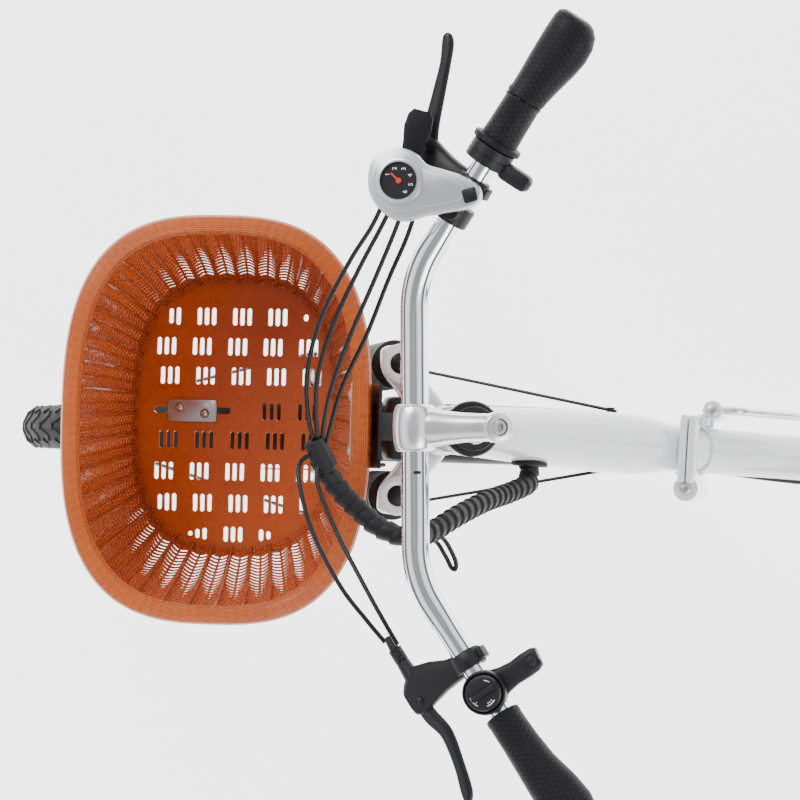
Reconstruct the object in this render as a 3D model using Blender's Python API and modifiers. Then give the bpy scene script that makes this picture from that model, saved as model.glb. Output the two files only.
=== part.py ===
"""A folding electric bicycle with 26 inch wheels, a front basket and a quill stem.

Metres, +Z up. The bicycle heads along -X, so its right (drive) side is +Y. The origin is on the
ground, under the middle of the wheelbase. It stands on its U-shaped rear stand, which holds
the rear wheel just off the ground. Shapes are laid out with the handlebar straight; the empties
named *_axis then turn the steered part, and carry every piece that moves.
"""

import math

import bmesh
import bpy
from mathutils import Matrix, Quaternion, Vector

# ---------------------------------------------------------------- driving dimensions
WHEELBASE = 1.100
WHEEL_RADIUS = 0.335
TYRE_RADIUS = 0.025
REAR_LIFT = 0.020
HEAD_ANGLE = math.radians(70)
SEAT_ANGLE = math.radians(72)
FORK_OFFSET = 0.045
STEER_AT_REST = math.radians(2.3)
BAR_TWIST = math.radians(1.7)

GAP = 0.0003
FIT = 0.0005

LEG_SPACING = 0.130
LEG_FORWARD = 0.040
STANCHION_RADIUS = 0.014
LOWER_RADIUS = 0.0195
STEERER_RADIUS = 0.0143
QUILL_RADIUS = 0.0110
HEAD_TUBE_RADIUS = 0.0210

BAR_RADIUS = 0.0127
BAR_END_RADIUS = 0.0111
BAR_HEIGHT = 1.070
BAR_FORWARD = 0.0755
BAR_SWEEP = math.radians(34)
BAR_BEND_RADIUS = 0.100
BAR_CORNER = 0.135
BAR_RISE = 0.12
GRIP_START = 0.273
GRIP_LENGTH = 0.135

CRANK_LENGTH = 0.165
CHAINLINE = 0.052
CHAINRING_RADIUS = 0.085
SPROCKET_RADIUS = 0.036
PULLEY_RADIUS = 0.019
CHAIN_RADIUS = 0.0034
STAND_REACH = 0.3605

FRONT_TUBE_HALF_WIDTH = 0.030
FRONT_TUBE_HALF_DEPTH = 0.040
REAR_TUBE_RADIUS = 0.0235
HINGE_X = -0.100
HINGE_Z = 0.620
HINGE_PIN_Y = -0.041
LATCH_OFFSET = (0.020, 0.040)
PLATE_THICKNESS = 0.0075

BASKET_DEPTH_Z = 0.770
BASKET_WALL = 0.0030
SQUARENESS = 2.8

# ---------------------------------------------------------------- key points
FRONT_AXLE = Vector((-WHEELBASE / 2, 0, WHEEL_RADIUS))
REAR_AXLE = Vector((WHEELBASE / 2, 0, WHEEL_RADIUS + REAR_LIFT))
UP_AXIS = Vector((math.cos(HEAD_ANGLE), 0, math.sin(HEAD_ANGLE)))
AHEAD = Vector((-math.sin(HEAD_ANGLE), 0, math.cos(HEAD_ANGLE)))
RIGHT = Vector((0, 1, 0))
CROWN_HEIGHT = 0.785
AXIS_FOOT = FRONT_AXLE + Vector((FORK_OFFSET / math.sin(HEAD_ANGLE), 0, 0))
CROWN = AXIS_FOOT + UP_AXIS * ((CROWN_HEIGHT - AXIS_FOOT.z) / UP_AXIS.z)
CRANK_CENTRE = Vector((0.105, 0, 0.300))
SEAT_DIRECTION = Vector((math.cos(SEAT_ANGLE), 0, math.sin(SEAT_ANGLE)))
STEM_TOP = CROWN + UP_AXIS * ((BAR_HEIGHT - CROWN.z) / UP_AXIS.z)
LATCH = Vector((HINGE_X + LATCH_OFFSET[0], LATCH_OFFSET[1], HINGE_Z))


def on_steering_axis(along, ahead=0.0, side=0.0):
    """A point measured from the fork crown, along the steering axis, ahead of it and to the right."""
    return CROWN + UP_AXIS * along + AHEAD * ahead + RIGHT * side


def on_seat_tube(along, side=0.0):
    return CRANK_CENTRE + SEAT_DIRECTION * along + RIGHT * side


# ---------------------------------------------------------------- scene, materials, pivots
for old in list(bpy.data.objects):
    bpy.data.objects.remove(old, do_unlink=True)

parts = bpy.data.collections.new("folding_bicycle")
cutters = bpy.data.collections.new("cutters")
for collection in (parts, cutters):
    bpy.context.scene.collection.children.link(collection)


def material(name, colour, roughness, metallic=0.0):
    made = bpy.data.materials.new(name)
    made.use_nodes = True
    shader = made.node_tree.nodes["Principled BSDF"]
    shader.inputs["Base Color"].default_value = (*colour, 1)
    shader.inputs["Roughness"].default_value = roughness
    shader.inputs["Metallic"].default_value = metallic
    return made


WHITE_PAINT = material("white_paint", (0.88, 0.89, 0.90), 0.25)
CHROME = material("chrome", (0.80, 0.81, 0.83), 0.08, 1.0)
SILVER = material("silver_alloy", (0.72, 0.73, 0.75), 0.30, 1.0)
STEEL = material("brushed_steel", (0.55, 0.55, 0.56), 0.40, 1.0)
BLACK_METAL = material("black_metal", (0.025, 0.025, 0.027), 0.40, 0.6)
BLACK_PLASTIC = material("black_plastic", (0.022, 0.022, 0.024), 0.45)
RUBBER = material("rubber", (0.020, 0.020, 0.021), 0.75)
TYRE = material("tyre_rubber", (0.018, 0.018, 0.019), 0.85)
RATTAN = material("basket_plastic", (0.58, 0.13, 0.025), 0.35)
VINYL = material("saddle_vinyl", (0.030, 0.028, 0.027), 0.55)

pivots = {}


def pivot(name, location, parent=None):
    """An empty on a joint's axis. Its children are laid out as if nothing had been turned."""
    empty = bpy.data.objects.new(name, None)
    parts.objects.link(empty)
    empty.location = location
    empty.rotation_mode = "QUATERNION"
    pivots[name] = Vector(location)
    if parent:
        hang(empty, parent)
    return empty


def hang(obj, parent):
    obj.parent = parent
    obj.matrix_parent_inverse = Matrix.Translation(-pivots[parent.name])


def finish(obj, skin, parent=None):
    obj.data.materials.clear()
    obj.data.materials.append(skin)
    if obj.type == "MESH":
        obj.data.shade_smooth()
        obj.data.set_sharp_from_angle(angle=math.radians(35))
    if parent:
        hang(obj, parent)
    return obj


# ---------------------------------------------------------------- shape helpers
def new_object(name, mesh, collection=parts):
    obj = bpy.data.objects.new(name, mesh)
    collection.objects.link(obj)
    return obj


def from_bmesh(name, shape, collection=parts):
    mesh = bpy.data.meshes.new(name)
    shape.to_mesh(mesh)
    shape.free()
    return new_object(name, mesh, collection)


def rod(name, start, end, radius, end_radius=None, sides=12):
    """A straight round bar, or a cone, between two points."""
    start, end = Vector(start), Vector(end)
    shape = bmesh.new()
    bmesh.ops.create_cone(
        shape,
        cap_ends=True,
        segments=sides,
        radius1=radius,
        radius2=radius if end_radius is None else end_radius,
        depth=(end - start).length,
    )
    turn = Vector((0, 0, 1)).rotation_difference(end - start).to_matrix().to_4x4()
    bmesh.ops.transform(shape, matrix=Matrix.Translation((start + end) / 2) @ turn, verts=shape.verts)
    return from_bmesh(name, shape)


def block(name, centre, size, turn=None, bevel=0.0):
    """A box with its edges rounded by bevel, turned about its centre."""
    shape = bmesh.new()
    bmesh.ops.create_cube(shape, size=1)
    bmesh.ops.scale(shape, vec=size, verts=shape.verts)
    if bevel:
        bmesh.ops.bevel(shape, geom=shape.edges[:], offset=bevel, segments=1, affect="EDGES")
    place = Matrix.Translation(centre)
    if turn is not None:
        place = place @ turn.to_matrix().to_4x4()
    bmesh.ops.transform(shape, matrix=place, verts=shape.verts)
    return from_bmesh(name, shape)


def tube(name, points, radius, radii=None, closed=False, resolution=2):
    """A round tube along the points, as a mesh with its caps welded on."""
    data = bpy.data.curves.new(name, "CURVE")
    data.dimensions = "3D"
    data.bevel_depth = radius
    data.bevel_resolution = resolution
    data.use_fill_caps = not closed
    spline = data.splines.new("POLY")
    spline.points.add(len(points) - 1)
    for index, place in enumerate(points):
        spline.points[index].co = (*place, 1)
        spline.points[index].radius = radii[index] if radii else 1.0
    spline.use_cyclic_u = closed
    curve = new_object(name + "_line", data)
    bpy.context.view_layer.update()
    mesh = bpy.data.meshes.new_from_object(curve.evaluated_get(bpy.context.evaluated_depsgraph_get()))
    bpy.data.objects.remove(curve)
    shape = bmesh.new()
    shape.from_mesh(mesh)
    bmesh.ops.remove_doubles(shape, verts=shape.verts, dist=0.00002)
    bmesh.ops.recalc_face_normals(shape, faces=shape.faces)
    shape.to_mesh(mesh)
    shape.free()
    return new_object(name, mesh)


def smooth_path(points, steps):
    """Points along a Catmull-Rom curve through the given ones."""
    knots = [Vector(p) for p in points]
    knots = [knots[0] * 2 - knots[1]] + knots + [knots[-1] * 2 - knots[-2]]
    path = []
    for a, b, c, d in zip(knots, knots[1:], knots[2:], knots[3:]):
        for step in range(steps):
            t = step / steps
            path.append(
                0.5 * (2 * b + (c - a) * t + (2 * a - 5 * b + 4 * c - d) * t**2
                       + (3 * b - a - 3 * c + d) * t**3)
            )
    path.append(knots[-2])
    return path


def turned(name, profile, centre, axis=(0, 1, 0), steps=32, angle=math.tau):
    """A solid of revolution. The profile's (radius, height) points run down its outer side."""
    mesh = bpy.data.meshes.new(name)
    closed = profile[0][0] > 0
    count = len(profile)
    edges = [(i, i + 1) for i in range(count - 1)] + ([(count - 1, 0)] if closed else [])
    mesh.from_pydata([(r, 0, h) for r, h in profile], edges, [])
    obj = new_object(name, mesh)
    screw = obj.modifiers.new("turn", "SCREW")
    screw.angle = angle
    screw.steps = screw.render_steps = steps
    screw.use_merge_vertices = True
    screw.merge_threshold = 0.00002
    screw.use_smooth_shade = True
    obj.rotation_mode = "QUATERNION"
    obj.rotation_quaternion = Vector((0, 0, 1)).rotation_difference(Vector(axis))
    obj.location = centre
    return obj


def ring_profile(inner, outer, low, high):
    return [(outer, high), (outer, low), (inner, low), (inner, high)]


def plate(name, outline, centre, thickness, holes=()):
    """A flat plate across Y. The outline and holes are lists of (x, z) points."""
    data = bpy.data.curves.new(name, "CURVE")
    data.dimensions = "2D"
    data.fill_mode = "BOTH"
    data.extrude = thickness / 2
    for loop in (outline, *holes):
        spline = data.splines.new("POLY")
        spline.points.add(len(loop) - 1)
        for index, (x, z) in enumerate(loop):
            spline.points[index].co = (x, z, 0, 1)
        spline.use_cyclic_u = True
    flat = new_object(name + "_outline", data)
    bpy.context.view_layer.update()
    mesh = bpy.data.meshes.new_from_object(flat.evaluated_get(bpy.context.evaluated_depsgraph_get()))
    bpy.data.objects.remove(flat)
    shape = bmesh.new()
    shape.from_mesh(mesh)
    bmesh.ops.remove_doubles(shape, verts=shape.verts, dist=0.00001)
    stand_up = Matrix.Translation(centre) @ Matrix.Rotation(math.pi / 2, 4, "X")
    bmesh.ops.transform(shape, matrix=stand_up, verts=shape.verts)
    bmesh.ops.recalc_face_normals(shape, faces=shape.faces)
    shape.to_mesh(mesh)
    shape.free()
    return new_object(name, mesh)


def circle(radius, count=16, centre=(0.0, 0.0), start=0.0):
    return [
        (
            centre[0] + radius * math.cos(start + math.tau * i / count),
            centre[1] + radius * math.sin(start + math.tau * i / count),
        )
        for i in range(count)
    ]


def loft(name, rings, closed=False):
    """A skin over rings of points with equal counts; its ends are capped unless it closes on itself."""
    shape = bmesh.new()
    rows = [[shape.verts.new(place) for place in ring] for ring in rings]
    pairs = list(zip(rows, rows[1:])) + ([(rows[-1], rows[0])] if closed else [])
    for low, high in pairs:
        for i in range(len(low)):
            j = (i + 1) % len(low)
            shape.faces.new((low[i], low[j], high[j], high[i]))
    if not closed:
        shape.faces.new(rows[0][::-1])
        shape.faces.new(rows[-1])
    bmesh.ops.triangulate(shape, faces=[f for f in shape.faces if len(f.verts) > 4])
    bmesh.ops.recalc_face_normals(shape, faces=shape.faces)
    return from_bmesh(name, shape)


def oval(centre, across, up, half_across, half_up, count=16, power=2.0):
    """A ring of points in the plane of two directions; power over 2 squares it off."""
    ring = []
    for i in range(count):
        angle = math.tau * i / count
        c, s = math.cos(angle), math.sin(angle)
        x = math.copysign(abs(c) ** (2 / power), c) * half_across
        y = math.copysign(abs(s) ** (2 / power), s) * half_up
        ring.append(Vector(centre) + Vector(across) * x + Vector(up) * y)
    return ring


def combine(target, others, operation="UNION"):
    """Booleans the others into the target one by one, and applies each."""
    for other in others:
        bpy.context.view_layer.update()
        step = target.modifiers.new("join", "BOOLEAN")
        step.operation = operation
        step.object = other
        depsgraph = bpy.context.evaluated_depsgraph_get()
        mesh = bpy.data.meshes.new_from_object(target.evaluated_get(depsgraph))
        target.modifiers.clear()
        target.data = mesh
        bpy.data.objects.remove(other)
    shape = bmesh.new()
    shape.from_mesh(target.data)
    bmesh.ops.triangulate(shape, faces=[f for f in shape.faces if len(f.verts) > 4])
    shape.to_mesh(target.data)
    shape.free()
    return target


def cut(target, others):
    return combine(target, others, "DIFFERENCE")


# ---------------------------------------------------------------- joint axes
fold_axis = pivot("fold_axis", (HINGE_X, HINGE_PIN_Y, HINGE_Z))
steering_axis = pivot("steering_axis", CROWN, fold_axis)
cockpit_axis = pivot("cockpit_axis", STEM_TOP, steering_axis)
suspension_axis = pivot("suspension_axis", CROWN, steering_axis)
front_wheel_axis = pivot("front_wheel_axis", FRONT_AXLE, suspension_axis)
rear_wheel_axis = pivot("rear_wheel_axis", REAR_AXLE)
freewheel_axis = pivot("freewheel_axis", REAR_AXLE)
crank_axis = pivot("crank_axis", CRANK_CENTRE)


# ---------------------------------------------------------------- wheels
def build_wheel(side, axle, wheel_axis, hub_radius, hub_half_width, flange_half_width, disc_y):
    """Tyre, rim, laced hub and brake disc of one wheel, all turning on wheel_axis."""
    sides = 28
    rim_top = WHEEL_RADIUS - 2 * TYRE_RADIUS + 0.006
    bottom_angle = -math.pi / 2
    tyre_section = circle(TYRE_RADIUS, 10, (WHEEL_RADIUS - TYRE_RADIUS, 0))
    tyre_section = [(r, h) for r, h in tyre_section if r > rim_top + GAP]
    tyre_section = [(rim_top + GAP, 0.012)] + tyre_section_clean(tyre_section) + [(rim_top + GAP, -0.012)]
    tyre = turned(side + "_tyre", tyre_section, axle, (0, 1, 0), sides)
    finish(tyre, TYRE, wheel_axis)
    rim_section = [
        (rim_top, 0.0125), (rim_top, -0.0125), (rim_top - 0.009, -0.012),
        (rim_top - 0.016, -0.006), (rim_top - 0.016, 0.006), (rim_top - 0.009, 0.012),
    ]
    finish(turned(side + "_rim", rim_section, axle, (0, 1, 0), sides), SILVER, wheel_axis)

    bore = 0.0066
    hub_section = [
        (hub_radius * 0.55, hub_half_width), (hub_radius * 0.62, flange_half_width + 0.003),
        (hub_radius, flange_half_width + 0.0015), (hub_radius, flange_half_width - 0.0025),
        (hub_radius * 0.86, flange_half_width - 0.004), (hub_radius * 0.86, 0.004 - flange_half_width),
        (hub_radius, 0.0025 - flange_half_width), (hub_radius, -0.0015 - flange_half_width),
        (hub_radius * 0.62, -0.003 - flange_half_width), (hub_radius * 0.55, -hub_half_width),
        (bore, -hub_half_width), (bore, hub_half_width),
    ]
    hub = turned(side + "_hub", hub_section, axle, (0, 1, 0), 14)
    spokes = []
    spoke_count = 6
    reach = (rim_top - 0.016) * math.cos(math.pi / sides) - 0.0008
    for flange in (-1, 1):
        for i in range(spoke_count):
            angle = bottom_angle + math.tau * (i + 0.25 * flange) / spoke_count
            lean = 0.30 if i % 2 else -0.30
            hub_end = Vector((math.cos(angle + lean), 0, math.sin(angle + lean))) * (hub_radius - 0.004)
            hub_end.y = flange * (flange_half_width - 0.0004)
            rim_end = Vector((math.cos(angle), 0, math.sin(angle))) * reach
            rim_end.y = flange * 0.003
            spokes.append(rod("spoke", axle + hub_end, axle + rim_end, 0.0012, sides=4))
    combine(hub, [merge(spokes)])
    finish(hub, SILVER if side == "front" else BLACK_METAL, wheel_axis)

    disc_radius = 0.080
    windows = [
        circle(0.013, 6, (0.048 * math.cos(a), 0.048 * math.sin(a)))
        for a in (math.tau * i / 5 for i in range(5))
    ]
    disc_bore = circle(hub_radius * 0.62 + 0.001 if side == "rear" else 0.0128, 16)
    if side == "rear":
        windows = []
    disc = plate(side + "_brake_disc", circle(disc_radius, 28), axle + Vector((0, disc_y, 0)), 0.0018,
                 [disc_bore] + windows)
    finish(disc, STEEL, wheel_axis)


def tyre_section_clean(section):
    """The tyre's round outer points, ordered from its +Y side to its -Y side."""
    return sorted(section, key=lambda point: math.atan2(point[1], point[0] - WHEEL_RADIUS + TYRE_RADIUS),
                  reverse=True)


def merge(objects):
    """Several separate shapes as one object, ready for a Boolean."""
    shape = bmesh.new()
    for obj in objects:
        bpy.context.view_layer.update()
        piece = bmesh.new()
        piece.from_mesh(obj.data)
        bmesh.ops.transform(piece, matrix=obj.matrix_world, verts=piece.verts)
        temporary = bpy.data.meshes.new("piece")
        piece.to_mesh(temporary)
        piece.free()
        shape.from_mesh(temporary)
        bpy.data.objects.remove(obj)
    return from_bmesh("merged", shape)


def build_wheels():
    build_wheel("front", FRONT_AXLE, front_wheel_axis, 0.021, 0.0440, 0.0300, -0.0405)
    build_wheel("rear", REAR_AXLE, rear_wheel_axis, 0.062, 0.0330, 0.0270, -0.0400)


# ---------------------------------------------------------------- frame
def build_rear_frame():
    joint_plate_x = HINGE_X + GAP + PLATE_THICKNESS / 2 + 0.0002
    frame = rod("rear_frame", (HINGE_X - 0.010, 0, HINGE_Z + 0.008), CRANK_CENTRE + Vector((0.02, 0, 0.050)),
                REAR_TUBE_RADIUS, sides=12)
    cut(frame, [block("front_side", (HINGE_X - 0.049, 0, HINGE_Z), (0.100, 0.12, 0.30))])
    seat_tube = rod("seat_tube", on_seat_tube(0), on_seat_tube(0.330), 0.0175, sides=12)
    shell = rod("shell", CRANK_CENTRE - RIGHT * 0.034, CRANK_CENTRE + RIGHT * 0.034, 0.0210, sides=12)
    hinge_plate = block("hinge_plate", (joint_plate_x, -0.001, HINGE_Z), (PLATE_THICKNESS, 0.068, 0.150),
                        bevel=0.003)
    stays = []
    for side in (-1, 1):
        stays.append(tube("chainstay", [
            CRANK_CENTRE + Vector((0.010, side * 0.022, 0.0)),
            CRANK_CENTRE + Vector((0.040, side * 0.034, 0.004)),
            CRANK_CENTRE + Vector((0.095, side * 0.0365, 0.010)),
            REAR_AXLE + Vector((-0.030, side * 0.0685, -0.002)),
        ], 0.0085, resolution=1))
        stays.append(tube("seatstay", [
            on_seat_tube(0.285, side * 0.010),
            on_seat_tube(0.280, side * 0.014) + Vector((0.018, 0, -0.010)),
            on_seat_tube(0.262, side * 0.0430) + Vector((0.055, 0, -0.028)),
            REAR_AXLE + Vector((-0.012, side * 0.0690, 0.018)),
        ], 0.0070, resolution=1))
        stays.append(plate("dropout", [
            (-0.040, -0.010), (-0.030, 0.012), (-0.016, 0.030), (0.004, 0.030), (0.016, 0.010),
            (0.012, -0.014), (-0.010, -0.018),
        ], REAR_AXLE + RIGHT * side * 0.068, 0.0055))
    bridge = rod("bridge", (0.180, -0.038, 0.309), (0.180, 0.038, 0.309), 0.0070, sides=8)
    caliper_tab = plate("caliper_tab", [(-0.075, 0.010), (-0.020, 0.000), (-0.010, 0.030), (-0.060, 0.060)],
                        REAR_AXLE - RIGHT * 0.068, 0.0055)
    latch_lugs = [
        rod("lug", LATCH + Vector((0, 0, low)), LATCH + Vector((0, 0, high)), 0.010, sides=10)
        for low, high in ((-0.034, -0.021), (0.021, 0.034))
    ]
    latch_post = block("post", (-0.088, 0.030, HINGE_Z), (0.010, 0.012, 0.068), bevel=0.001)
    knuckles = [
        rod("knuckle", (HINGE_X, HINGE_PIN_Y, HINGE_Z + low), (HINGE_X, HINGE_PIN_Y, HINGE_Z + high), 0.0125,
            sides=12)
        for low, high in ((-0.060, -0.0255), (0.0255, 0.060))
    ]
    combine(frame, [seat_tube, shell, hinge_plate, *stays, bridge, caliper_tab,
                    latch_post, *latch_lugs, *knuckles])
    cut(frame, [
        rod("middle_clearance", (HINGE_X, HINGE_PIN_Y, HINGE_Z - 0.0252), (HINGE_X, HINGE_PIN_Y, HINGE_Z + 0.0252),
            0.0131, sides=12),
        rod("pin_bore", (HINGE_X, HINGE_PIN_Y, HINGE_Z - 0.10), (HINGE_X, HINGE_PIN_Y, HINGE_Z + 0.10), 0.0046,
            sides=10),
        rod("crank_bore", CRANK_CENTRE - RIGHT * 0.05, CRANK_CENTRE + RIGHT * 0.05, 0.0110, sides=12),
        rod("seat_bore", on_seat_tube(0.100), on_seat_tube(0.360), 0.0146, sides=12),
        rod("axle_bore", REAR_AXLE - RIGHT * 0.1, REAR_AXLE + RIGHT * 0.1, 0.0064, sides=10),
        rod("latch_bore", LATCH - Vector((0, 0, 0.05)), LATCH + Vector((0, 0, 0.05)), 0.0035, sides=8),
        rod("lever_clearance", LATCH - Vector((0, 0, 0.0207)), LATCH + Vector((0, 0, 0.0207)), 0.0108, sides=12),
    ])
    finish(frame, WHITE_PAINT)

    pin = turned("fold_hinge_pin", [
        (0, 0.066), (0.0057, 0.066), (0.0057, 0.0605), (0.0043, 0.0603), (0.0043, -0.0603),
        (0.0057, -0.0605), (0.0057, -0.066), (0, -0.066),
    ], (HINGE_X, HINGE_PIN_Y, HINGE_Z), (0, 0, 1), 12)
    finish(pin, STEEL)

    axle = turned("rear_axle", [
        (0, 0.0885), (0.0090, 0.0885), (0.0090, 0.0853), (0.0060, 0.0851), (0.0060, 0.0790), (0.0105, 0.0785),
        (0.0105, 0.0712), (0.0060, 0.0710), (0.0060, -0.0710), (0.0105, -0.0712), (0.0105, -0.0785),
        (0.0060, -0.0790), (0.0060, -0.0851), (0.0090, -0.0853), (0.0090, -0.0885), (0, -0.0885),
    ], REAR_AXLE, (0, 1, 0), 12)
    finish(axle, STEEL)


def build_front_frame():
    plate_x = HINGE_X - GAP - PLATE_THICKNESS / 2 - 0.0002
    top = on_steering_axis(0.098)
    bottom = Vector((HINGE_X + 0.004, 0, HINGE_Z - 0.010))
    along = (bottom - top).normalized()
    across_depth = along.cross(RIGHT).normalized()
    outer = [
        (0.0, 0.0275, 0.036), (0.15, FRONT_TUBE_HALF_WIDTH, FRONT_TUBE_HALF_DEPTH),
        (0.70, FRONT_TUBE_HALF_WIDTH, FRONT_TUBE_HALF_DEPTH), (1.0, 0.0245, 0.034),
    ]
    length = (bottom - top).length
    frame = loft("front_frame", [
        oval(top + along * length * t, RIGHT, across_depth, w, d, 20) for t, w, d in outer
    ])
    head_tube = rod("head_tube", on_steering_axis(0.020), on_steering_axis(0.170), HEAD_TUBE_RADIUS, sides=16)
    flares = [
        rod("flare", on_steering_axis(low), on_steering_axis(high), 0.0245, sides=16)
        for low, high in ((0.018, 0.032), (0.158, 0.170))
    ]
    cut(frame, [block("rear_side", (HINGE_X + 0.049, 0, HINGE_Z), (0.100, 0.12, 0.30))])
    hinge_plate = block("hinge_plate", (plate_x, -0.001, HINGE_Z), (PLATE_THICKNESS, 0.068, 0.150), bevel=0.003)
    knuckle = rod("knuckle", (HINGE_X, HINGE_PIN_Y, HINGE_Z - 0.0248), (HINGE_X, HINGE_PIN_Y, HINGE_Z + 0.0248),
                  0.0125, sides=12)
    combine(frame, [head_tube, *flares, hinge_plate, knuckle])

    wall = 0.0025
    hollow = loft("hollow", [
        oval(top + along * length * t, RIGHT, across_depth, w - wall, d - wall, 20)
        for t, w, d in ((0.13, 0.029, 0.039), (0.20, *outer[1][1:]), outer[2], (0.90, 0.026, 0.036))
    ])
    slot_centre = grommet_place()
    slot = loft("slot", [
        oval(slot_centre + RIGHT * y, along, across_depth, 0.0200, 0.0110, 16) for y in (-0.02, 0.02)
    ])
    rear_knuckle_room = [
        rod("room", (HINGE_X, HINGE_PIN_Y, HINGE_Z + low), (HINGE_X, HINGE_PIN_Y, HINGE_Z + high), 0.0131, sides=12)
        for low, high in ((-0.10, -0.0252), (0.0252, 0.10))
    ]
    cut(frame, [
        hollow, slot, *rear_knuckle_room,
        rod("pin_bore", (HINGE_X, HINGE_PIN_Y, HINGE_Z - 0.10), (HINGE_X, HINGE_PIN_Y, HINGE_Z + 0.10), 0.0046,
            sides=10),
        rod("steerer_bore", on_steering_axis(0.0), on_steering_axis(0.2), STEERER_RADIUS + 0.0012, sides=14),
    ])
    finish(frame, WHITE_PAINT, fold_axis)

    upper_cup = turned("headset_upper_cup", [
        (0.0260, 0.013), (0.0260, 0.0035), (0.0235, 0.0003), (STEERER_RADIUS + 0.0008, 0.0003),
        (STEERER_RADIUS + 0.0008, 0.013),
    ], on_steering_axis(0.170), UP_AXIS, 20)
    finish(upper_cup, BLACK_METAL, fold_axis)

    middle = top + along * length * 0.52
    lean = Vector((0, 0, 1)).rotation_difference(-along)
    finish(block("battery_pack", middle, (0.056, 0.040, 0.150), lean, 0.006), BLACK_PLASTIC, fold_axis)

    grommet = loft("cable_grommet", [
        oval(slot_centre + RIGHT * y, along, across_depth, a, b, 16)
        for y, a, b in ((0.006, 0.0196, 0.0106), (-0.0052, 0.0196, 0.0106), (-0.0056, 0.0225, 0.0135),
                        (-0.0085, 0.0215, 0.0125))
    ])
    cut(grommet, [rod("harness_hole", slot_centre + RIGHT * 0.03, slot_centre - RIGHT * 0.03, 0.0095, sides=12)])
    finish(grommet, RUBBER, fold_axis)


def grommet_place():
    """The middle of the cable slot, on the front tube's left wall."""
    return Vector((-0.2405, -FRONT_TUBE_HALF_WIDTH + 0.0015, 0.8134))


def build_latch():
    latch_axis = pivot("latch_axis", LATCH)
    boss = rod("fold_latch_lever", LATCH - Vector((0, 0, 0.0202)), LATCH + Vector((0, 0, 0.0202)), 0.0100, sides=12)
    handle = loft("handle", [
        oval(LATCH + Vector((back, 0.0020, -down)), RIGHT, Vector((0.50, 0, 0.87)), 0.0045, half, 10, 3.0)
        for back, down, half in ((0.0, 0.0, 0.014), (0.020, 0.0, 0.013), (0.036, 0.012, 0.011),
                                 (0.078, 0.058, 0.012), (0.088, 0.069, 0.008))
    ])
    combine(boss, [handle])
    cut(boss, [rod("bore", LATCH - Vector((0, 0, 0.05)), LATCH + Vector((0, 0, 0.05)), 0.0035, sides=8)])
    finish(boss, SILVER, latch_axis)
    pin = turned("fold_latch_pin", [
        (0, 0.037), (0.0060, 0.037), (0.0060, 0.0344), (0.0031, 0.0343), (0.0031, -0.0343),
        (0.0060, -0.0344), (0.0060, -0.037), (0, -0.037),
    ], LATCH, (0, 0, 1), 12)
    finish(pin, STEEL)


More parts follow.
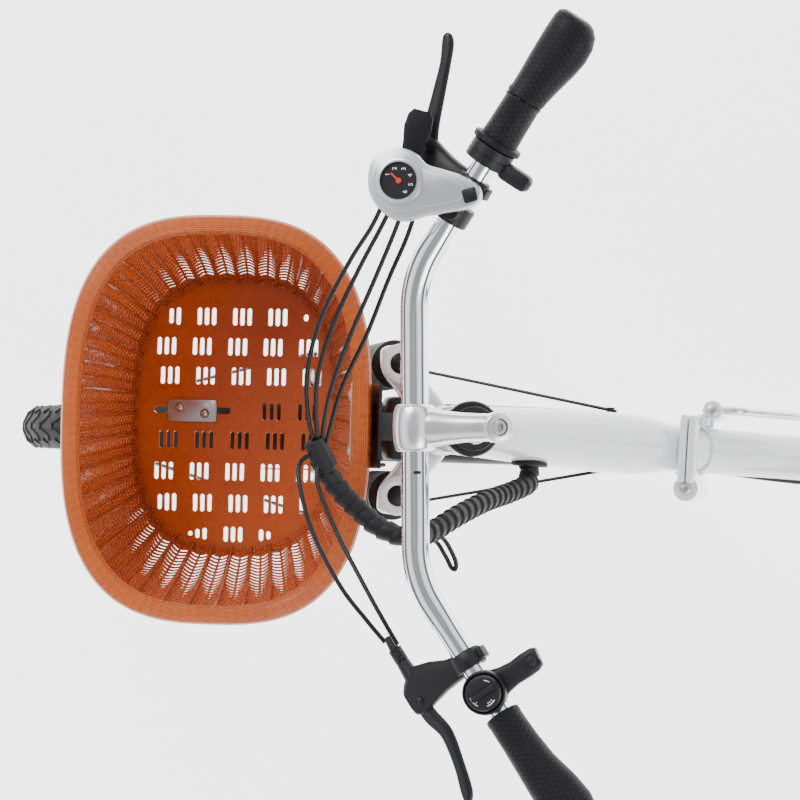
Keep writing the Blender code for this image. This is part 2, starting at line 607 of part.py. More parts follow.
# ---------------------------------------------------------------- fork, fender and front brake
def build_fork():
    half = LEG_SPACING / 2
    crown = loft("fork_crown", [
        oval(on_steering_axis(-0.004, ahead, side), UP_AXIS, AHEAD, 0.013, depth, 12, 3.0)
        for side, ahead, depth in ((-half - 0.019, 0.040, 0.010), (-half, 0.040, 0.019), (-0.030, 0.016, 0.020),
                                   (0, 0.006, 0.026), (0.030, 0.016, 0.020), (half, 0.040, 0.019),
                                   (half + 0.019, 0.040, 0.010))
    ])
    steerer = rod("steerer", on_steering_axis(-0.010), on_steering_axis(0.196), STEERER_RADIUS, sides=14)
    stanchions = [
        rod("stanchion", on_steering_axis(-0.245, LEG_FORWARD, side), on_steering_axis(0.010, LEG_FORWARD, side),
            STANCHION_RADIUS, sides=12)
        for side in (-half, half)
    ]
    combine(crown, [steerer, *stanchions])
    cut(crown, [rod("quill_bore", on_steering_axis(0.060), on_steering_axis(0.3), QUILL_RADIUS + 0.0007, sides=12)])
    finish(crown, WHITE_PAINT, steering_axis)

    lowers = []
    for side in (-half, half):
        lowers.append(rod("leg", on_steering_axis(-0.500, LEG_FORWARD, side),
                          on_steering_axis(-0.128, LEG_FORWARD, side), LOWER_RADIUS, sides=12))
    arch = tube("arch", smooth_path([
        on_steering_axis(-0.165, 0.048, -half), on_steering_axis(-0.140, 0.056, -half + 0.006),
        on_steering_axis(-0.120, 0.060, -0.030), on_steering_axis(-0.116, 0.061, 0),
        on_steering_axis(-0.120, 0.060, 0.030), on_steering_axis(-0.140, 0.056, half - 0.006),
        on_steering_axis(-0.165, 0.048, half),
    ], 2), 0.0085, resolution=1)
    caliper_mount = block("mount", on_steering_axis(-0.412, 0.018, -half), (0.030, 0.014, 0.060),
                          Vector((0, 0, 1)).rotation_difference(UP_AXIS), 0.002)
    ends = [
        rod("end", FRONT_AXLE + RIGHT * (side * 0.0525), FRONT_AXLE + RIGHT * (side * 0.0615), 0.0150, sides=12)
        for side in (-1, 1)
    ]
    lower = lowers[0]
    lower.name = "fork_lowers"
    combine(lower, [arch, lowers[1], *ends, caliper_mount])
    cut(lower, [
        rod("bore", on_steering_axis(-0.305, LEG_FORWARD, side), on_steering_axis(-0.1, LEG_FORWARD, side),
            STANCHION_RADIUS + 0.0006, sides=12)
        for side in (-half, half)
    ] + [rod("axle_bore", FRONT_AXLE - RIGHT * 0.1, FRONT_AXLE + RIGHT * 0.1, 0.0062, sides=10)])
    finish(lower, BLACK_METAL, suspension_axis)

    axle = turned("front_axle", [
        (0, 0.0905), (0.0055, 0.0905), (0.0055, 0.0870), (0.0095, 0.0865), (0.0095, 0.0852), (0.0058, 0.0850),
        (0.0058, -0.0850), (0.0095, -0.0852), (0.0095, -0.0865), (0.0055, -0.0870), (0.0055, -0.0905),
        (0, -0.0905),
    ], FRONT_AXLE, (0, 1, 0), 12)
    finish(axle, STEEL, suspension_axis)

    caliper = block("front_brake_caliper", on_steering_axis(-0.416, -0.013, -0.04425), (0.028, 0.0265, 0.052),
                    Vector((0, 0, 1)).rotation_difference(UP_AXIS), 0.004)
    cut(caliper, [
        rod("disc_slot", FRONT_AXLE - RIGHT * 0.0423, FRONT_AXLE - RIGHT * 0.0387, 0.0820, sides=32),
        rod("leg_room", on_steering_axis(-0.500, LEG_FORWARD, -half), on_steering_axis(-0.128, LEG_FORWARD, -half),
            LOWER_RADIUS + 0.0006, sides=14),
        block("mount_room", on_steering_axis(-0.412, 0.018, -half), (0.0308, 0.0148, 0.0608),
              Vector((0, 0, 1)).rotation_difference(UP_AXIS)),
    ])
    finish(caliper, BLACK_METAL, suspension_axis)


def build_fender(name, axle, start, stop, parent, stay_end_angles, stay_y):
    """A fender over the arc from start to stop, in degrees up from the rearward direction, with wire stays."""
    radius = WHEEL_RADIUS + 0.014
    profile = [(-0.0310, -0.014), (-0.0270, -0.002), (0.0, 0.002), (0.0270, -0.002), (0.0310, -0.014)]
    thickness = 0.0022
    rings = []
    steps = 10
    for i in range(steps + 1):
        angle = math.radians(start + (stop - start) * i / steps)
        out = Vector((math.cos(angle), 0, math.sin(angle)))
        outer = [axle + out * (radius + rise) + RIGHT * y for y, rise in profile]
        inner = [axle + out * (radius + rise - thickness) + RIGHT * y * 0.93 for y, rise in reversed(profile)]
        rings.append(outer + inner)
    fender = loft(name, rings)
    wires = []
    for angle in stay_end_angles:
        angle = math.radians(angle)
        out = Vector((math.cos(angle), 0, math.sin(angle)))
        for side in (-1, 1):
            wires.append(tube("stay", [
                axle + RIGHT * side * stay_y + out * 0.014,
                axle + RIGHT * side * stay_y + out * 0.030,
                axle + out * (radius - 0.014) + RIGHT * side * 0.0312,
                axle + out * (radius - 0.004) + RIGHT * side * 0.0302,
            ], 0.0018, resolution=0))
    combine(fender, wires)
    finish(fender, BLACK_PLASTIC, parent)


# ---------------------------------------------------------------- stem, bar and controls
def bar_point(side, along):
    """The bar's centre line at a distance along it from the clamp; side is 1 for the right half."""
    tangent = BAR_BEND_RADIUS * math.tan(BAR_SWEEP / 2)
    straight = BAR_CORNER - tangent
    arc = BAR_BEND_RADIUS * BAR_SWEEP
    x = STEM_TOP.x - BAR_FORWARD
    if along <= straight:
        return Vector((x, side * along, BAR_HEIGHT))
    turn = min(along - straight, arc) / BAR_BEND_RADIUS
    x += BAR_BEND_RADIUS * (1 - math.cos(turn))
    y = straight + BAR_BEND_RADIUS * math.sin(turn)
    rest = max(along - straight - arc, 0.0)
    x += rest * math.sin(BAR_SWEEP)
    y += rest * math.cos(BAR_SWEEP)
    rise = max(along - straight, 0.0) * BAR_RISE
    return Vector((x, side * y, BAR_HEIGHT + rise))


def bar_direction(side, along):
    return (bar_point(side, along + 0.001) - bar_point(side, along - 0.001)).normalized()


def build_stem_and_bar():
    clamp = bar_point(1, 0)
    stem = rod("quill_stem", clamp - RIGHT * 0.020, clamp + RIGHT * 0.020, 0.0185, sides=16)
    horn_axis = (STEM_TOP - clamp).normalized()
    horn_up = horn_axis.cross(RIGHT)
    horn = loft("horn", [
        oval(clamp + horn_axis * d + Vector((0, 0, z)), RIGHT, horn_up, w, h, 12)
        for d, z, w, h in ((0.002, 0, 0.0185, 0.0165), (0.022, 0.001, 0.0170, 0.0135),
                           (0.045, 0.003, 0.0132, 0.0112), (0.0810, 0.004, 0.0112, 0.0092))
    ])
    top = STEM_TOP + Vector((0, 0, 0.004))
    head = rod("head", top - UP_AXIS * 0.014, top + UP_AXIS * 0.0105, 0.0134, sides=14)
    quill = rod("quill", on_steering_axis(0.120), top, QUILL_RADIUS, sides=12)
    combine(stem, [horn, head, quill])
    cut(stem, [
        rod("bar_bore", clamp - RIGHT * 0.05, clamp + RIGHT * 0.05, BAR_RADIUS + GAP, sides=24),
        rod("bolt_recess", top + UP_AXIS * 0.002, top + UP_AXIS * 0.02, 0.0078, sides=12),
    ])
    finish(stem, SILVER, cockpit_axis)

    bolt = rod("stem_bolt", top + UP_AXIS * 0.0024, top + UP_AXIS * 0.0085, 0.0073, sides=12)
    cut(bolt, [rod("hex", top + UP_AXIS * 0.0045, top + UP_AXIS * 0.02, 0.0040, sides=6)])
    finish(bolt, STEEL, cockpit_axis)

    stations = [0.0, 0.03, 0.06, 0.09, 0.105, 0.118, 0.131, 0.144, 0.157, 0.17, 0.188, 0.235, 0.27, 0.30,
                GRIP_START + GRIP_LENGTH - 0.006]
    left = [bar_point(-1, s) for s in reversed(stations[1:])]
    right = [bar_point(1, s) for s in stations]
    taper = [BAR_END_RADIUS / BAR_RADIUS if s > 0.18 else 1.0 for s in stations]
    bar = tube("handlebar", left + right, BAR_RADIUS, list(reversed(taper[1:])) + taper, resolution=2)
    finish(bar, CHROME, cockpit_axis)


def sleeve(name, side, start, length, radii, bore, skin, parent, count=12):
    """A hollow grip-like sleeve on the bar, from a list of (share of length, radius)."""
    rings = []
    direction = bar_direction(side, start + length / 2)
    across = direction.cross(Vector((0, 0, 1))).normalized()
    up = across.cross(direction).normalized()
    for share, radius in radii:
        rings.append(oval(bar_point(side, start + length * share), across, up, radius, radius, count))
    for share, radius in reversed(radii):
        rings.append(oval(bar_point(side, start + length * share), across, up, bore, bore, count))
    return finish(loft(name, rings, closed=True), skin, parent)


def build_grips():
    bore = BAR_END_RADIUS + FIT
    throttle_axis = pivot("throttle_axis", bar_point(1, GRIP_START), cockpit_axis)
    sleeve("throttle_sleeve", 1, GRIP_START, 0.048, [(0, 0.0230), (0.08, 0.0230), (0.10, 0.0165), (1, 0.0165)],
           bore, RUBBER, throttle_axis)
    rest = [(0, 0.0185), (0.06, 0.0185), (0.10, 0.0155), (0.45, 0.0165), (0.80, 0.0180), (1, 0.0170)]
    sleeve("right_grip", 1, GRIP_START + 0.0485, GRIP_LENGTH - 0.0485, rest, bore, RUBBER, cockpit_axis)
    sleeve("left_grip", -1, GRIP_START + 0.0045, GRIP_LENGTH - 0.0045,
           [(0, 0.0185), (0.05, 0.0185), (0.07, 0.0155), (0.5, 0.0160), (0.85, 0.0180), (1, 0.0170)],
           bore, RUBBER, cockpit_axis)
    sleeve("throttle_housing", 1, GRIP_START - 0.0185, 0.018, [(0, 0.0200), (1, 0.0200)], bore, BLACK_PLASTIC,
           cockpit_axis)


# Each brake blade's (along the bar, ahead of its hinge, half width), from the hinge to the tip.
RIGHT_BLADE = ((-0.002, -0.001, 0.0070), (0.018, 0.011, 0.0075), (0.046, 0.022, 0.0065), (0.072, 0.032, 0.0055),
               (0.088, 0.040, 0.0060), (0.095, 0.045, 0.0045))
LEFT_BLADE = ((-0.002, 0.002, 0.0070), (0.016, 0.001, 0.0075), (0.037, -0.003, 0.0065), (0.066, 0.003, 0.0055),
              (0.088, 0.010, 0.0060), (0.097, 0.014, 0.0045))


def build_lever(side, clamp_at, reach, path):
    """A brake lever's clamp body and its blade; path holds the blade's (along, ahead, half width)."""
    word = "right" if side > 0 else "left"
    centre = bar_point(side, clamp_at)
    along = bar_direction(side, clamp_at)
    ahead = Vector((0, 0, 1)).cross(along) * side
    ahead = (ahead.normalized() * 0.97 - Vector((0, 0, 0.22))).normalized()
    up = along.cross(ahead).normalized() * side
    body = rod(word + "_lever_body", centre - along * 0.008, centre + along * 0.008, 0.0152, sides=14)
    arm = loft("arm", [
        oval(centre + ahead * d + along * shift, along, up, w, h, 12, 2.6)
        for d, shift, w, h in ((0.006, 0, 0.011, 0.010), (reach * 0.55, -0.004, 0.016, 0.0090),
                               (reach * 0.85, -0.004, 0.020, 0.0085), (reach + 0.010, 0.002, 0.014, 0.0075))
    ])
    inboard = centre + ahead * (reach - 0.004)
    barrel = rod("barrel", inboard - along * 0.058, inboard - along * 0.010, 0.0048, 0.0065, sides=10)
    combine(body, [arm, barrel])
    hinge = centre + ahead * reach + along * 0.006
    blade_thickness = 0.0055
    slot = loft("slot", [
        oval(hinge + up * z + along * 0.012 + ahead * 0.004, along, ahead, 0.0260, 0.0200, 12, 4.0)
        for z in (-0.0034, 0.0034)
    ])
    cut(body, [rod("bore", centre - along * 0.05, centre + along * 0.05, BAR_END_RADIUS + FIT, sides=14), slot])
    finish(body, BLACK_PLASTIC, cockpit_axis)

    blade_axis = pivot(word + "_lever_axis", hinge, cockpit_axis)
    blade = loft(word + "_brake_lever", [
        oval(hinge + along * a + ahead * b, ahead, up, w, blade_thickness / 2, 10, 2.6) for a, b, w in path
    ])
    boss = rod("boss", hinge - up * 0.0026, hinge + up * 0.0026, 0.0085, sides=12)
    combine(blade, [boss])
    finish(blade, BLACK_METAL, blade_axis)


def build_shifter():
    """Thumb shifter on the right: silver shell with the gear dial, a thumb paddle and the pointer."""
    at = bar_point(1, 0.203)
    along = bar_direction(1, 0.203)
    up = Vector((0, 0, 1))
    across = along.cross(up).normalized()
    dial = Vector((STEM_TOP.x - 0.080, 0.219, 1.1225))
    clamp = rod("shifter_body", at - along * 0.009, at + along * 0.009, 0.0165, sides=12)
    shell = loft("shell", [
        [Vector((STEM_TOP.x + x, y, z)) for x, y in (
            (-0.108, 0.222), (-0.102, 0.241), (-0.080, 0.2475), (-0.060, 0.232), (-0.036, 0.226),
            (-0.012, 0.214), (-0.010, 0.198), (-0.034, 0.191), (-0.058, 0.190), (-0.080, 0.188), (-0.098, 0.199),
        )]
        for z in (dial.z - 0.020, dial.z - 0.004)
    ])
    post = rod("post", at, at + up * 0.026, 0.0085, sides=10)
    combine(clamp, [post, shell])
    cut(clamp, [
        rod("bore", at - along * 0.06, at + along * 0.06, BAR_END_RADIUS + FIT, sides=12),
        rod("dial_well", dial - up * 0.0072, dial + up * 0.01, 0.0150, sides=14),
    ])
    finish(clamp, SILVER, cockpit_axis)

    thumb_axis = pivot("thumb_axis", dial - up * 0.028, cockpit_axis)
    hub = rod("shift_thumb_lever", dial - up * 0.0260, dial - up * 0.0210, 0.0150, sides=12)
    paddle = loft("paddle", [
        oval(dial - up * 0.0235 + Vector((0.018 * t, 0.064 * t, 0)), Vector((0.96, -0.27, 0)), up,
             w, 0.0026, 10, 3.0)
        for t, w in ((0.0, 0.009), (0.45, 0.007), (0.75, 0.012), (1.0, 0.008))
    ])
    combine(hub, [paddle])
    finish(hub, BLACK_PLASTIC, thumb_axis)

    pointer_axis = pivot("pointer_axis", dial, cockpit_axis)
    pointer = block("gear_pointer", dial + Vector((-0.0035, 0.0035, -0.0058)), (0.0130, 0.0022, 0.0016),
                    Quaternion((0, 0, 1), math.radians(135)), 0.0004)
    finish(pointer, RATTAN, pointer_axis)


def build_switch():
    """Light and horn switch on the left: a housing round the bar, a turning knob and a push button."""
    at_distance = 0.254
    at = bar_point(-1, at_distance)
    along = bar_direction(-1, at_distance)
    up = Vector((0, 0, 1))
    housing = rod("switch_housing", at - along * 0.0085, at + along * 0.0085, 0.0185, sides=12)
    post = rod("post", at + up * 0.004, at + up * 0.0225, 0.0195, sides=14)
    horn_place = Vector((STEM_TOP.x + 0.034, -0.207, at.z + 0.010))
    arm = loft("arm", [
        oval(at + (horn_place - at) * t + up * 0.004 * (1 - t), Vector((0.6, 0.8, 0)), up, w, 0.0085, 10, 3.0)
        for t, w in ((0.1, 0.016), (0.55, 0.010), (0.80, 0.011), (1.12, 0.010))
    ])
    combine(housing, [post, arm])
    horn_up = horn_place + up * 0.0085
    cut(housing, [
        rod("bore", at - along * 0.06, at + along * 0.06, BAR_END_RADIUS + FIT, sides=12),
        rod("knob_seat", at + up * 0.0190, at + up * 0.04, 0.0175, sides=14),
        rod("button_well", horn_up - up * 0.0045, horn_up + up * 0.02, 0.0055, sides=12),
    ])
    finish(housing, BLACK_PLASTIC, cockpit_axis)
    knob_axis = pivot("knob_axis", at + up * 0.0193, cockpit_axis)
    knob = rod("light_switch_knob", at + up * 0.0193, at + up * 0.0285, 0.0165, 0.0156, sides=16)
    ridge = block("ridge", at + up * 0.0288, (0.020, 0.0045, 0.0045), Quaternion(up, 0.6), 0.001)
    combine(knob, [ridge])
    finish(knob, BLACK_PLASTIC, knob_axis)
    horn_axis = pivot("horn_axis", horn_up, cockpit_axis)
    button = rod("horn_button", horn_up - up * 0.0015, horn_up + up * 0.0035, 0.0050, 0.0045, sides=12)
    finish(button, RUBBER, horn_axis)


def unturned(place):
    """Where a point fixed to the frame lies before the steering and the bar are turned."""
    return CROWN + Quaternion(UP_AXIS, -STEER_AT_REST - BAR_TWIST) @ (place - CROWN)


def build_harness():
    """The wrapped trunk from the frame to the splitter, and the thin cables from there to the controls."""
    outlet = grommet_place()
    trunk = [
        unturned(outlet - RIGHT * 0.0140), (-0.244, -0.0540, 0.832), (-0.256, -0.061, 0.866), (-0.270, -0.068, 0.915),
        (-0.289, -0.081, 0.967), (-0.304, -0.093, 1.002), (-0.317, -0.099, 1.030), (-0.332, -0.097, 1.040),
        (-0.351, -0.089, 1.037), (-0.368, -0.075, 1.033), (-0.384, -0.059, 1.034), (-0.397, -0.041, 1.037),
        (-0.405, -0.024, 1.041),
    ]
    inside_frame = unturned(outlet + RIGHT * 0.004)
    harness = tube("wiring_harness", [inside_frame] + smooth_path(trunk, 2), 0.0085, resolution=1)
    splitter = rod("splitter", (-0.4075, -0.014, 1.044), (-0.3985, -0.034, 1.038), 0.0105, sides=10)
    cables = [
        [(-0.405, -0.021, 1.042), (-0.411, 0.008, 1.055), (-0.409, 0.053, 1.069), (-0.393, 0.103, 1.078),
         (-0.366, 0.150, 1.087), (-0.345, 0.181, 1.090)],
        [(-0.403, -0.021, 1.042), (-0.404, 0.008, 1.055), (-0.399, 0.049, 1.069), (-0.383, 0.094, 1.078),
         (-0.358, 0.142, 1.087), (-0.338, 0.178, 1.088)],
        [(-0.401, -0.021, 1.042), (-0.398, 0.004, 1.050), (-0.388, 0.040, 1.059), (-0.369, 0.085, 1.068),
         (-0.345, 0.134, 1.077), (-0.327, 0.172, 1.084)],
        [(-0.399, -0.021, 1.042), (-0.392, 0.004, 1.046), (-0.380, 0.040, 1.050), (-0.357, 0.085, 1.054),
         (-0.335, 0.134, 1.064), (-0.317, 0.170, 1.072)],
        [(-0.405, -0.023, 1.043), (-0.418, -0.028, 1.051), (-0.419, -0.046, 1.061), (-0.405, -0.092, 1.072),
         (-0.377, -0.141, 1.084), (-0.352, -0.172, 1.088)],
        [(-0.401, -0.025, 1.043), (-0.404, -0.048, 1.051), (-0.385, -0.092, 1.062), (-0.356, -0.141, 1.078),
         (-0.337, -0.172, 1.086)],
    ]
    wires = [tube("cable", route, 0.0021, resolution=0) for route in cables]
    combine(harness, [splitter, *wires])
    finish(harness, RUBBER, cockpit_axis)


# ---------------------------------------------------------------- basket, brackets and lamp
def basket_ring(height, inset=0.0):
    """The basket's outline at a share of its height, from the floor (0) to the rim (1)."""
    bulge = 0.010 * math.sin(math.pi * min(height, 1.0))
    centre_x = -0.547 + (-0.514 + 0.547) * height
    centre_y = 0.012 + (0.003 - 0.012) * height
    half_x = 0.1045 + (0.1465 - 0.1045) * height + bulge * 0.5 - inset
    half_y = 0.1370 + (0.1915 - 0.1370) * height + bulge - inset
    rim_tilt = 0.068
    rise = 0.222 * height
    ring = []
    for point in oval((centre_x, centre_y, BASKET_DEPTH_Z + rise), (1, 0, 0), (0, 1, 0), half_x, half_y, 20,
                      SQUARENESS):
        point.z -= (point.x - centre_x) * rim_tilt * height
        ring.append(point)
    return ring


def build_basket():
    outer = [basket_ring(h) for h in (0.0, 0.3, 0.6, 0.92)]
    rim = [basket_ring(h, -0.003) for h in (0.93, 1.0)]
    inner = [basket_ring(h, BASKET_WALL) for h in (1.0, 0.92, 0.6, 0.3)]
    floor = [point + Vector((0, 0, BASKET_WALL)) for point in basket_ring(0.0, BASKET_WALL)]
    basket = loft("basket", outer + rim + inner + [floor])
    finish(basket, RATTAN, steering_axis)

    square_to_axis = Quaternion((0, 1, 0), math.pi / 2 - HEAD_ANGLE)
    bracket = block("basket_bracket", on_steering_axis(0.150, 0.088), (0.0030, 0.078, 0.075), square_to_axis)
    arm = block("arm", on_steering_axis(0.186, 0.0446), (0.088, 0.026, 0.0026), square_to_axis)
    ring = rod("ring", on_steering_axis(0.1845), on_steering_axis(0.1875), 0.0230, sides=14)
    combine(bracket, [arm, ring])
    cut(bracket, [rod("bore", on_steering_axis(0.15), on_steering_axis(0.22), STEERER_RADIUS + GAP, sides=14)])
    finish(bracket, STEEL, steering_axis)

    floor_z = BASKET_DEPTH_Z + BASKET_WALL + GAP
    floor_plate = block("basket_floor_plate", (-0.590, 0.014, floor_z + 0.0010), (0.050, 0.024, 0.0020),
                        bevel=0.0004)
    finish(floor_plate, STEEL, steering_axis)

    lamp = on_steering_axis(0.012, 0.053)
    headlight = turned("headlight", [
        (0, 0.036), (0.010, 0.034), (0.020, 0.024), (0.026, 0.006), (0.026, 0.0), (0.0, 0.0),
    ], lamp + Vector((-0.018, 0, 0.014)), (1, 0, 0), 20)
    finish(headlight, BLACK_PLASTIC, steering_axis)


# ---------------------------------------------------------------- seat
def build_seat():
    seatpost_axis = pivot("seatpost_axis", on_seat_tube(0.330))
    post = rod("seatpost", on_seat_tube(0.190), on_seat_tube(0.610), 0.0141, sides=12)
    clamp = rod("clamp", on_seat_tube(0.598) - RIGHT * 0.022, on_seat_tube(0.598) + RIGHT * 0.022, 0.013, sides=12)
    rails = []
    base = on_seat_tube(0.598)
    for side in (-1, 1):
        rails.append(tube("rail", smooth_path([
            base + Vector((-0.105, side * 0.012, 0.030)), base + Vector((-0.060, side * 0.020, 0.010)),
            base + Vector((0.050, side * 0.020, 0.006)), base + Vector((0.110, side * 0.045, 0.030)),
        ], 2), 0.0035, resolution=0))
    combine(post, [clamp, *rails])
    finish(post, CHROME, seatpost_axis)

    low = base + Vector((0, 0, 0.0335))
    stations = (
        (-0.150, 0.008, 0.006, 0.012), (-0.135, 0.021, 0.013, 0.014), (-0.080, 0.030, 0.019, 0.018),
        (-0.010, 0.052, 0.023, 0.022), (0.050, 0.088, 0.027, 0.026), (0.095, 0.103, 0.028, 0.029),
        (0.125, 0.088, 0.022, 0.028), (0.138, 0.052, 0.010, 0.022),
    )
    rings = []
    for x, half_width, half_height, middle in stations:
        rings.append(oval(low + Vector((x, 0, middle + 0.004)), RIGHT, (0, 0, 1), half_width, half_height, 16, 2.4))
    finish(loft("saddle", rings), VINYL, seatpost_axis)

    collar = turned("seat_clamp", ring_profile(0.0178, 0.0225, -0.0215, -0.0005), on_seat_tube(0.330),
                    SEAT_DIRECTION, 20)
    bpy.context.view_layer.update()
    finish(collar, BLACK_METAL)
    lug_place = on_seat_tube(0.319) + Vector((0.0285, 0, -0.009))
    lever_axis = pivot("seat_lever_axis", lug_place)
    lever = rod("seat_clamp_lever", lug_place - RIGHT * 0.016, lug_place + RIGHT * 0.016, 0.0050, sides=10)
    grip = tube("grip", smooth_path([
        lug_place - RIGHT * 0.018, lug_place - RIGHT * 0.0265 + Vector((0.004, 0, -0.004)),
        lug_place - RIGHT * 0.0300 + Vector((0.012, 0, -0.030)),
        lug_place - RIGHT * 0.0300 + Vector((0.013, 0, -0.044)),
    ], 2), 0.0045, resolution=1)
    cap = rod("cap", lug_place - RIGHT * 0.0240, lug_place - RIGHT * 0.0155, 0.0080, sides=10)
    combine(lever, [cap, grip])
    finish(lever, SILVER, lever_axis)


# ---------------------------------------------------------------- cranks, chain and derailleur
def arm_end(side):
    """Where a crank arm ends: the left one points up and the right one down."""
    return CRANK_CENTRE + Vector((0, 0, -side * CRANK_LENGTH))


def build_cranks():
    spindle = rod("crankset", CRANK_CENTRE - RIGHT * 0.0780, CRANK_CENTRE + RIGHT * 0.0740, 0.0085, sides=12)
    holes = [
        circle(0.0185, 6, (0.048 * math.cos(a), 0.048 * math.sin(a)))
        for a in (math.tau * (i + 0.5) / 5 for i in range(5))
    ]
    ring = plate("chainring", circle(CHAINRING_RADIUS - 0.0045, 30), CRANK_CENTRE + RIGHT * CHAINLINE, 0.0026,
                 holes)
    spider = rod("spider", CRANK_CENTRE + RIGHT * (CHAINLINE - 0.004), CRANK_CENTRE + RIGHT * (CHAINLINE + 0.012),
                 0.020, sides=14)
    combine(spindle, [spider, ring, crank_arm(1)])
    finish(spindle, SILVER, crank_axis)
    left = crank_arm(-1)
    left.name = "left_crank_arm"
    cut(left, [rod("bore", CRANK_CENTRE - RIGHT * 0.10, CRANK_CENTRE, 0.0090, sides=12)])
    finish(left, SILVER, crank_axis)


def crank_arm(side):
    end = arm_end(side)
    inner = 0.0660
    rings = []
    for t, half, y in ((-0.09, 0.008, inner), (-0.04, 0.0145, inner), (0.06, 0.0140, inner),
                       (0.5, 0.0100, inner + 0.007), (0.95, 0.0110, inner + 0.012),
                       (1.03, 0.0120, inner + 0.012), (1.08, 0.0070, inner + 0.012)):
        place = CRANK_CENTRE.lerp(end, t) + RIGHT * side * (y + 0.006)
        rings.append(oval(place, RIGHT, (1, 0, 0), 0.0065, half, 12, 3.0))
    arm = loft("arm", rings)
    pedal_axle = rod("pedal_axle", end + RIGHT * side * 0.080, end + RIGHT * side * 0.176, 0.0045, sides=10)
    return combine(arm, [pedal_axle])


def build_pedals():
    for side, word in ((-1, "left"), (1, "right")):
        end = arm_end(side)
        middle = end + RIGHT * side * 0.136
        pedal = block(word + "_pedal", middle, (0.088, 0.082, 0.022), bevel=0.004)
        windows = [
            block("window", middle + Vector((x, y, 0)), (0.022, 0.028, 0.05))
            for x in (-0.024, 0.024) for y in (-0.019, 0.019)
        ]
        cut(pedal, [rod("bore", middle - RIGHT * 0.06, middle + RIGHT * 0.06, 0.0051, sides=10), merge(windows)])
        finish(pedal, BLACK_PLASTIC, pivot(word + "_pedal_axis", end, crank_axis))


def belt(circles, arc_step=0.30):
    """Points of a belt round (centre, radius, turn) circles in the XZ plane; turn is 1 anticlockwise."""
    count = len(circles)
    tangents = []
    for i in range(count):
        (a, ra, sa), (b, rb, sb) = circles[i], circles[(i + 1) % count]
        gap = Vector(b) - Vector(a)
        lean = math.asin((sb * rb - sa * ra) / gap.length)
        angle = math.atan2(gap.y, gap.x) - lean
        normal = Vector((-math.sin(angle), math.cos(angle)))
        tangents.append((Vector(a) - normal * sa * ra, Vector(b) - normal * sb * rb))
    points = []
    for i in range(count):
        centre, radius, turn = circles[i]
        centre = Vector(centre)
        arrive, leave = tangents[i - 1][1] - centre, tangents[i][0] - centre
        start = math.atan2(arrive.y, arrive.x)
        sweep = (math.atan2(leave.y, leave.x) - start) * turn % math.tau
        steps = max(1, round(sweep / arc_step))
        for k in range(steps + 1):
            angle = start + turn * sweep * k / steps
            points.append(centre + Vector((math.cos(angle), math.sin(angle))) * radius)
    return points


GUIDE_PULLEY = REAR_AXLE + Vector((0.006, CHAINLINE, -0.070))
TENSION_PULLEY = REAR_AXLE + Vector((-0.022, CHAINLINE, -0.124))


def build_chain():
    flat = [
        ((CRANK_CENTRE.x, CRANK_CENTRE.z), CHAINRING_RADIUS, -1),
        ((REAR_AXLE.x, REAR_AXLE.z), SPROCKET_RADIUS, -1),
        ((GUIDE_PULLEY.x, GUIDE_PULLEY.z), PULLEY_RADIUS + CHAIN_RADIUS, 1),
        ((TENSION_PULLEY.x, TENSION_PULLEY.z), PULLEY_RADIUS + CHAIN_RADIUS, -1),
    ]
    route = [Vector((p.x, CHAINLINE, p.y)) for p in belt(flat)]
    finish(tube("chain", route, CHAIN_RADIUS, closed=True, resolution=0), STEEL)


def build_derailleur():
    cage = rod("derailleur", GUIDE_PULLEY + RIGHT * 0.0078, TENSION_PULLEY + RIGHT * 0.0078, 0.0030, sides=8)
    pins = [
        rod("pin", pulley - RIGHT * 0.0080, pulley + RIGHT * 0.0095, 0.0026, sides=8)
        for pulley in (GUIDE_PULLEY, TENSION_PULLEY)
    ]
    plates = [
        rod("washer", pulley + RIGHT * 0.0042, pulley + RIGHT * 0.0080, 0.0130, sides=12)
        for pulley in (GUIDE_PULLEY, TENSION_PULLEY)
    ]
    body = block("body", GUIDE_PULLEY + Vector((0.006, 0.0150, 0.016)), (0.024, 0.016, 0.040),
                 Quaternion((0, 1, 0), 0.2), 0.003)
    hanger = plate("hanger", [(-0.008, 0.002), (0.010, 0.002), (0.016, 0.042), (0.004, 0.044)],
                   GUIDE_PULLEY + RIGHT * 0.0235, 0.0040)
    combine(cage, [*plates, *pins, body, hanger])
    finish(cage, BLACK_METAL)
    for name, place in (("guide_pulley", GUIDE_PULLEY), ("tension_pulley", TENSION_PULLEY)):
        wheel = turned(name, ring_profile(0.0030, PULLEY_RADIUS - 0.0006, -0.0022, 0.0022), place, (0, 1, 0), 14)
        finish(wheel, BLACK_PLASTIC, pivot(name + "_axis", place))


def build_freewheel():
    groove = SPROCKET_RADIUS - CHAIN_RADIUS - 0.0006
    profile = [
        (0.0255, 0.0590), (0.0255, 0.0572), (groove, 0.0560), (groove, 0.0480), (0.0470, 0.0470),
        (0.0500, 0.0445), (0.0500, 0.0370), (0.0110, 0.0370), (0.0110, 0.0590),
    ]
    finish(turned("freewheel_sprockets", profile, REAR_AXLE, (0, 1, 0), 18), STEEL, freewheel_axis)


def build_rear_brake():
    turn = Quaternion((0, 1, 0), math.radians(35))
    place = REAR_AXLE + Vector((-0.048, -0.0445, 0.048))
    caliper = block("rear_brake_caliper", place, (0.050, 0.0200, 0.028), turn, 0.003)
    cut(caliper, [rod("disc_slot", REAR_AXLE - RIGHT * 0.0418, REAR_AXLE - RIGHT * 0.0382, 0.0820, sides=32)])
    finish(caliper, BLACK_METAL)


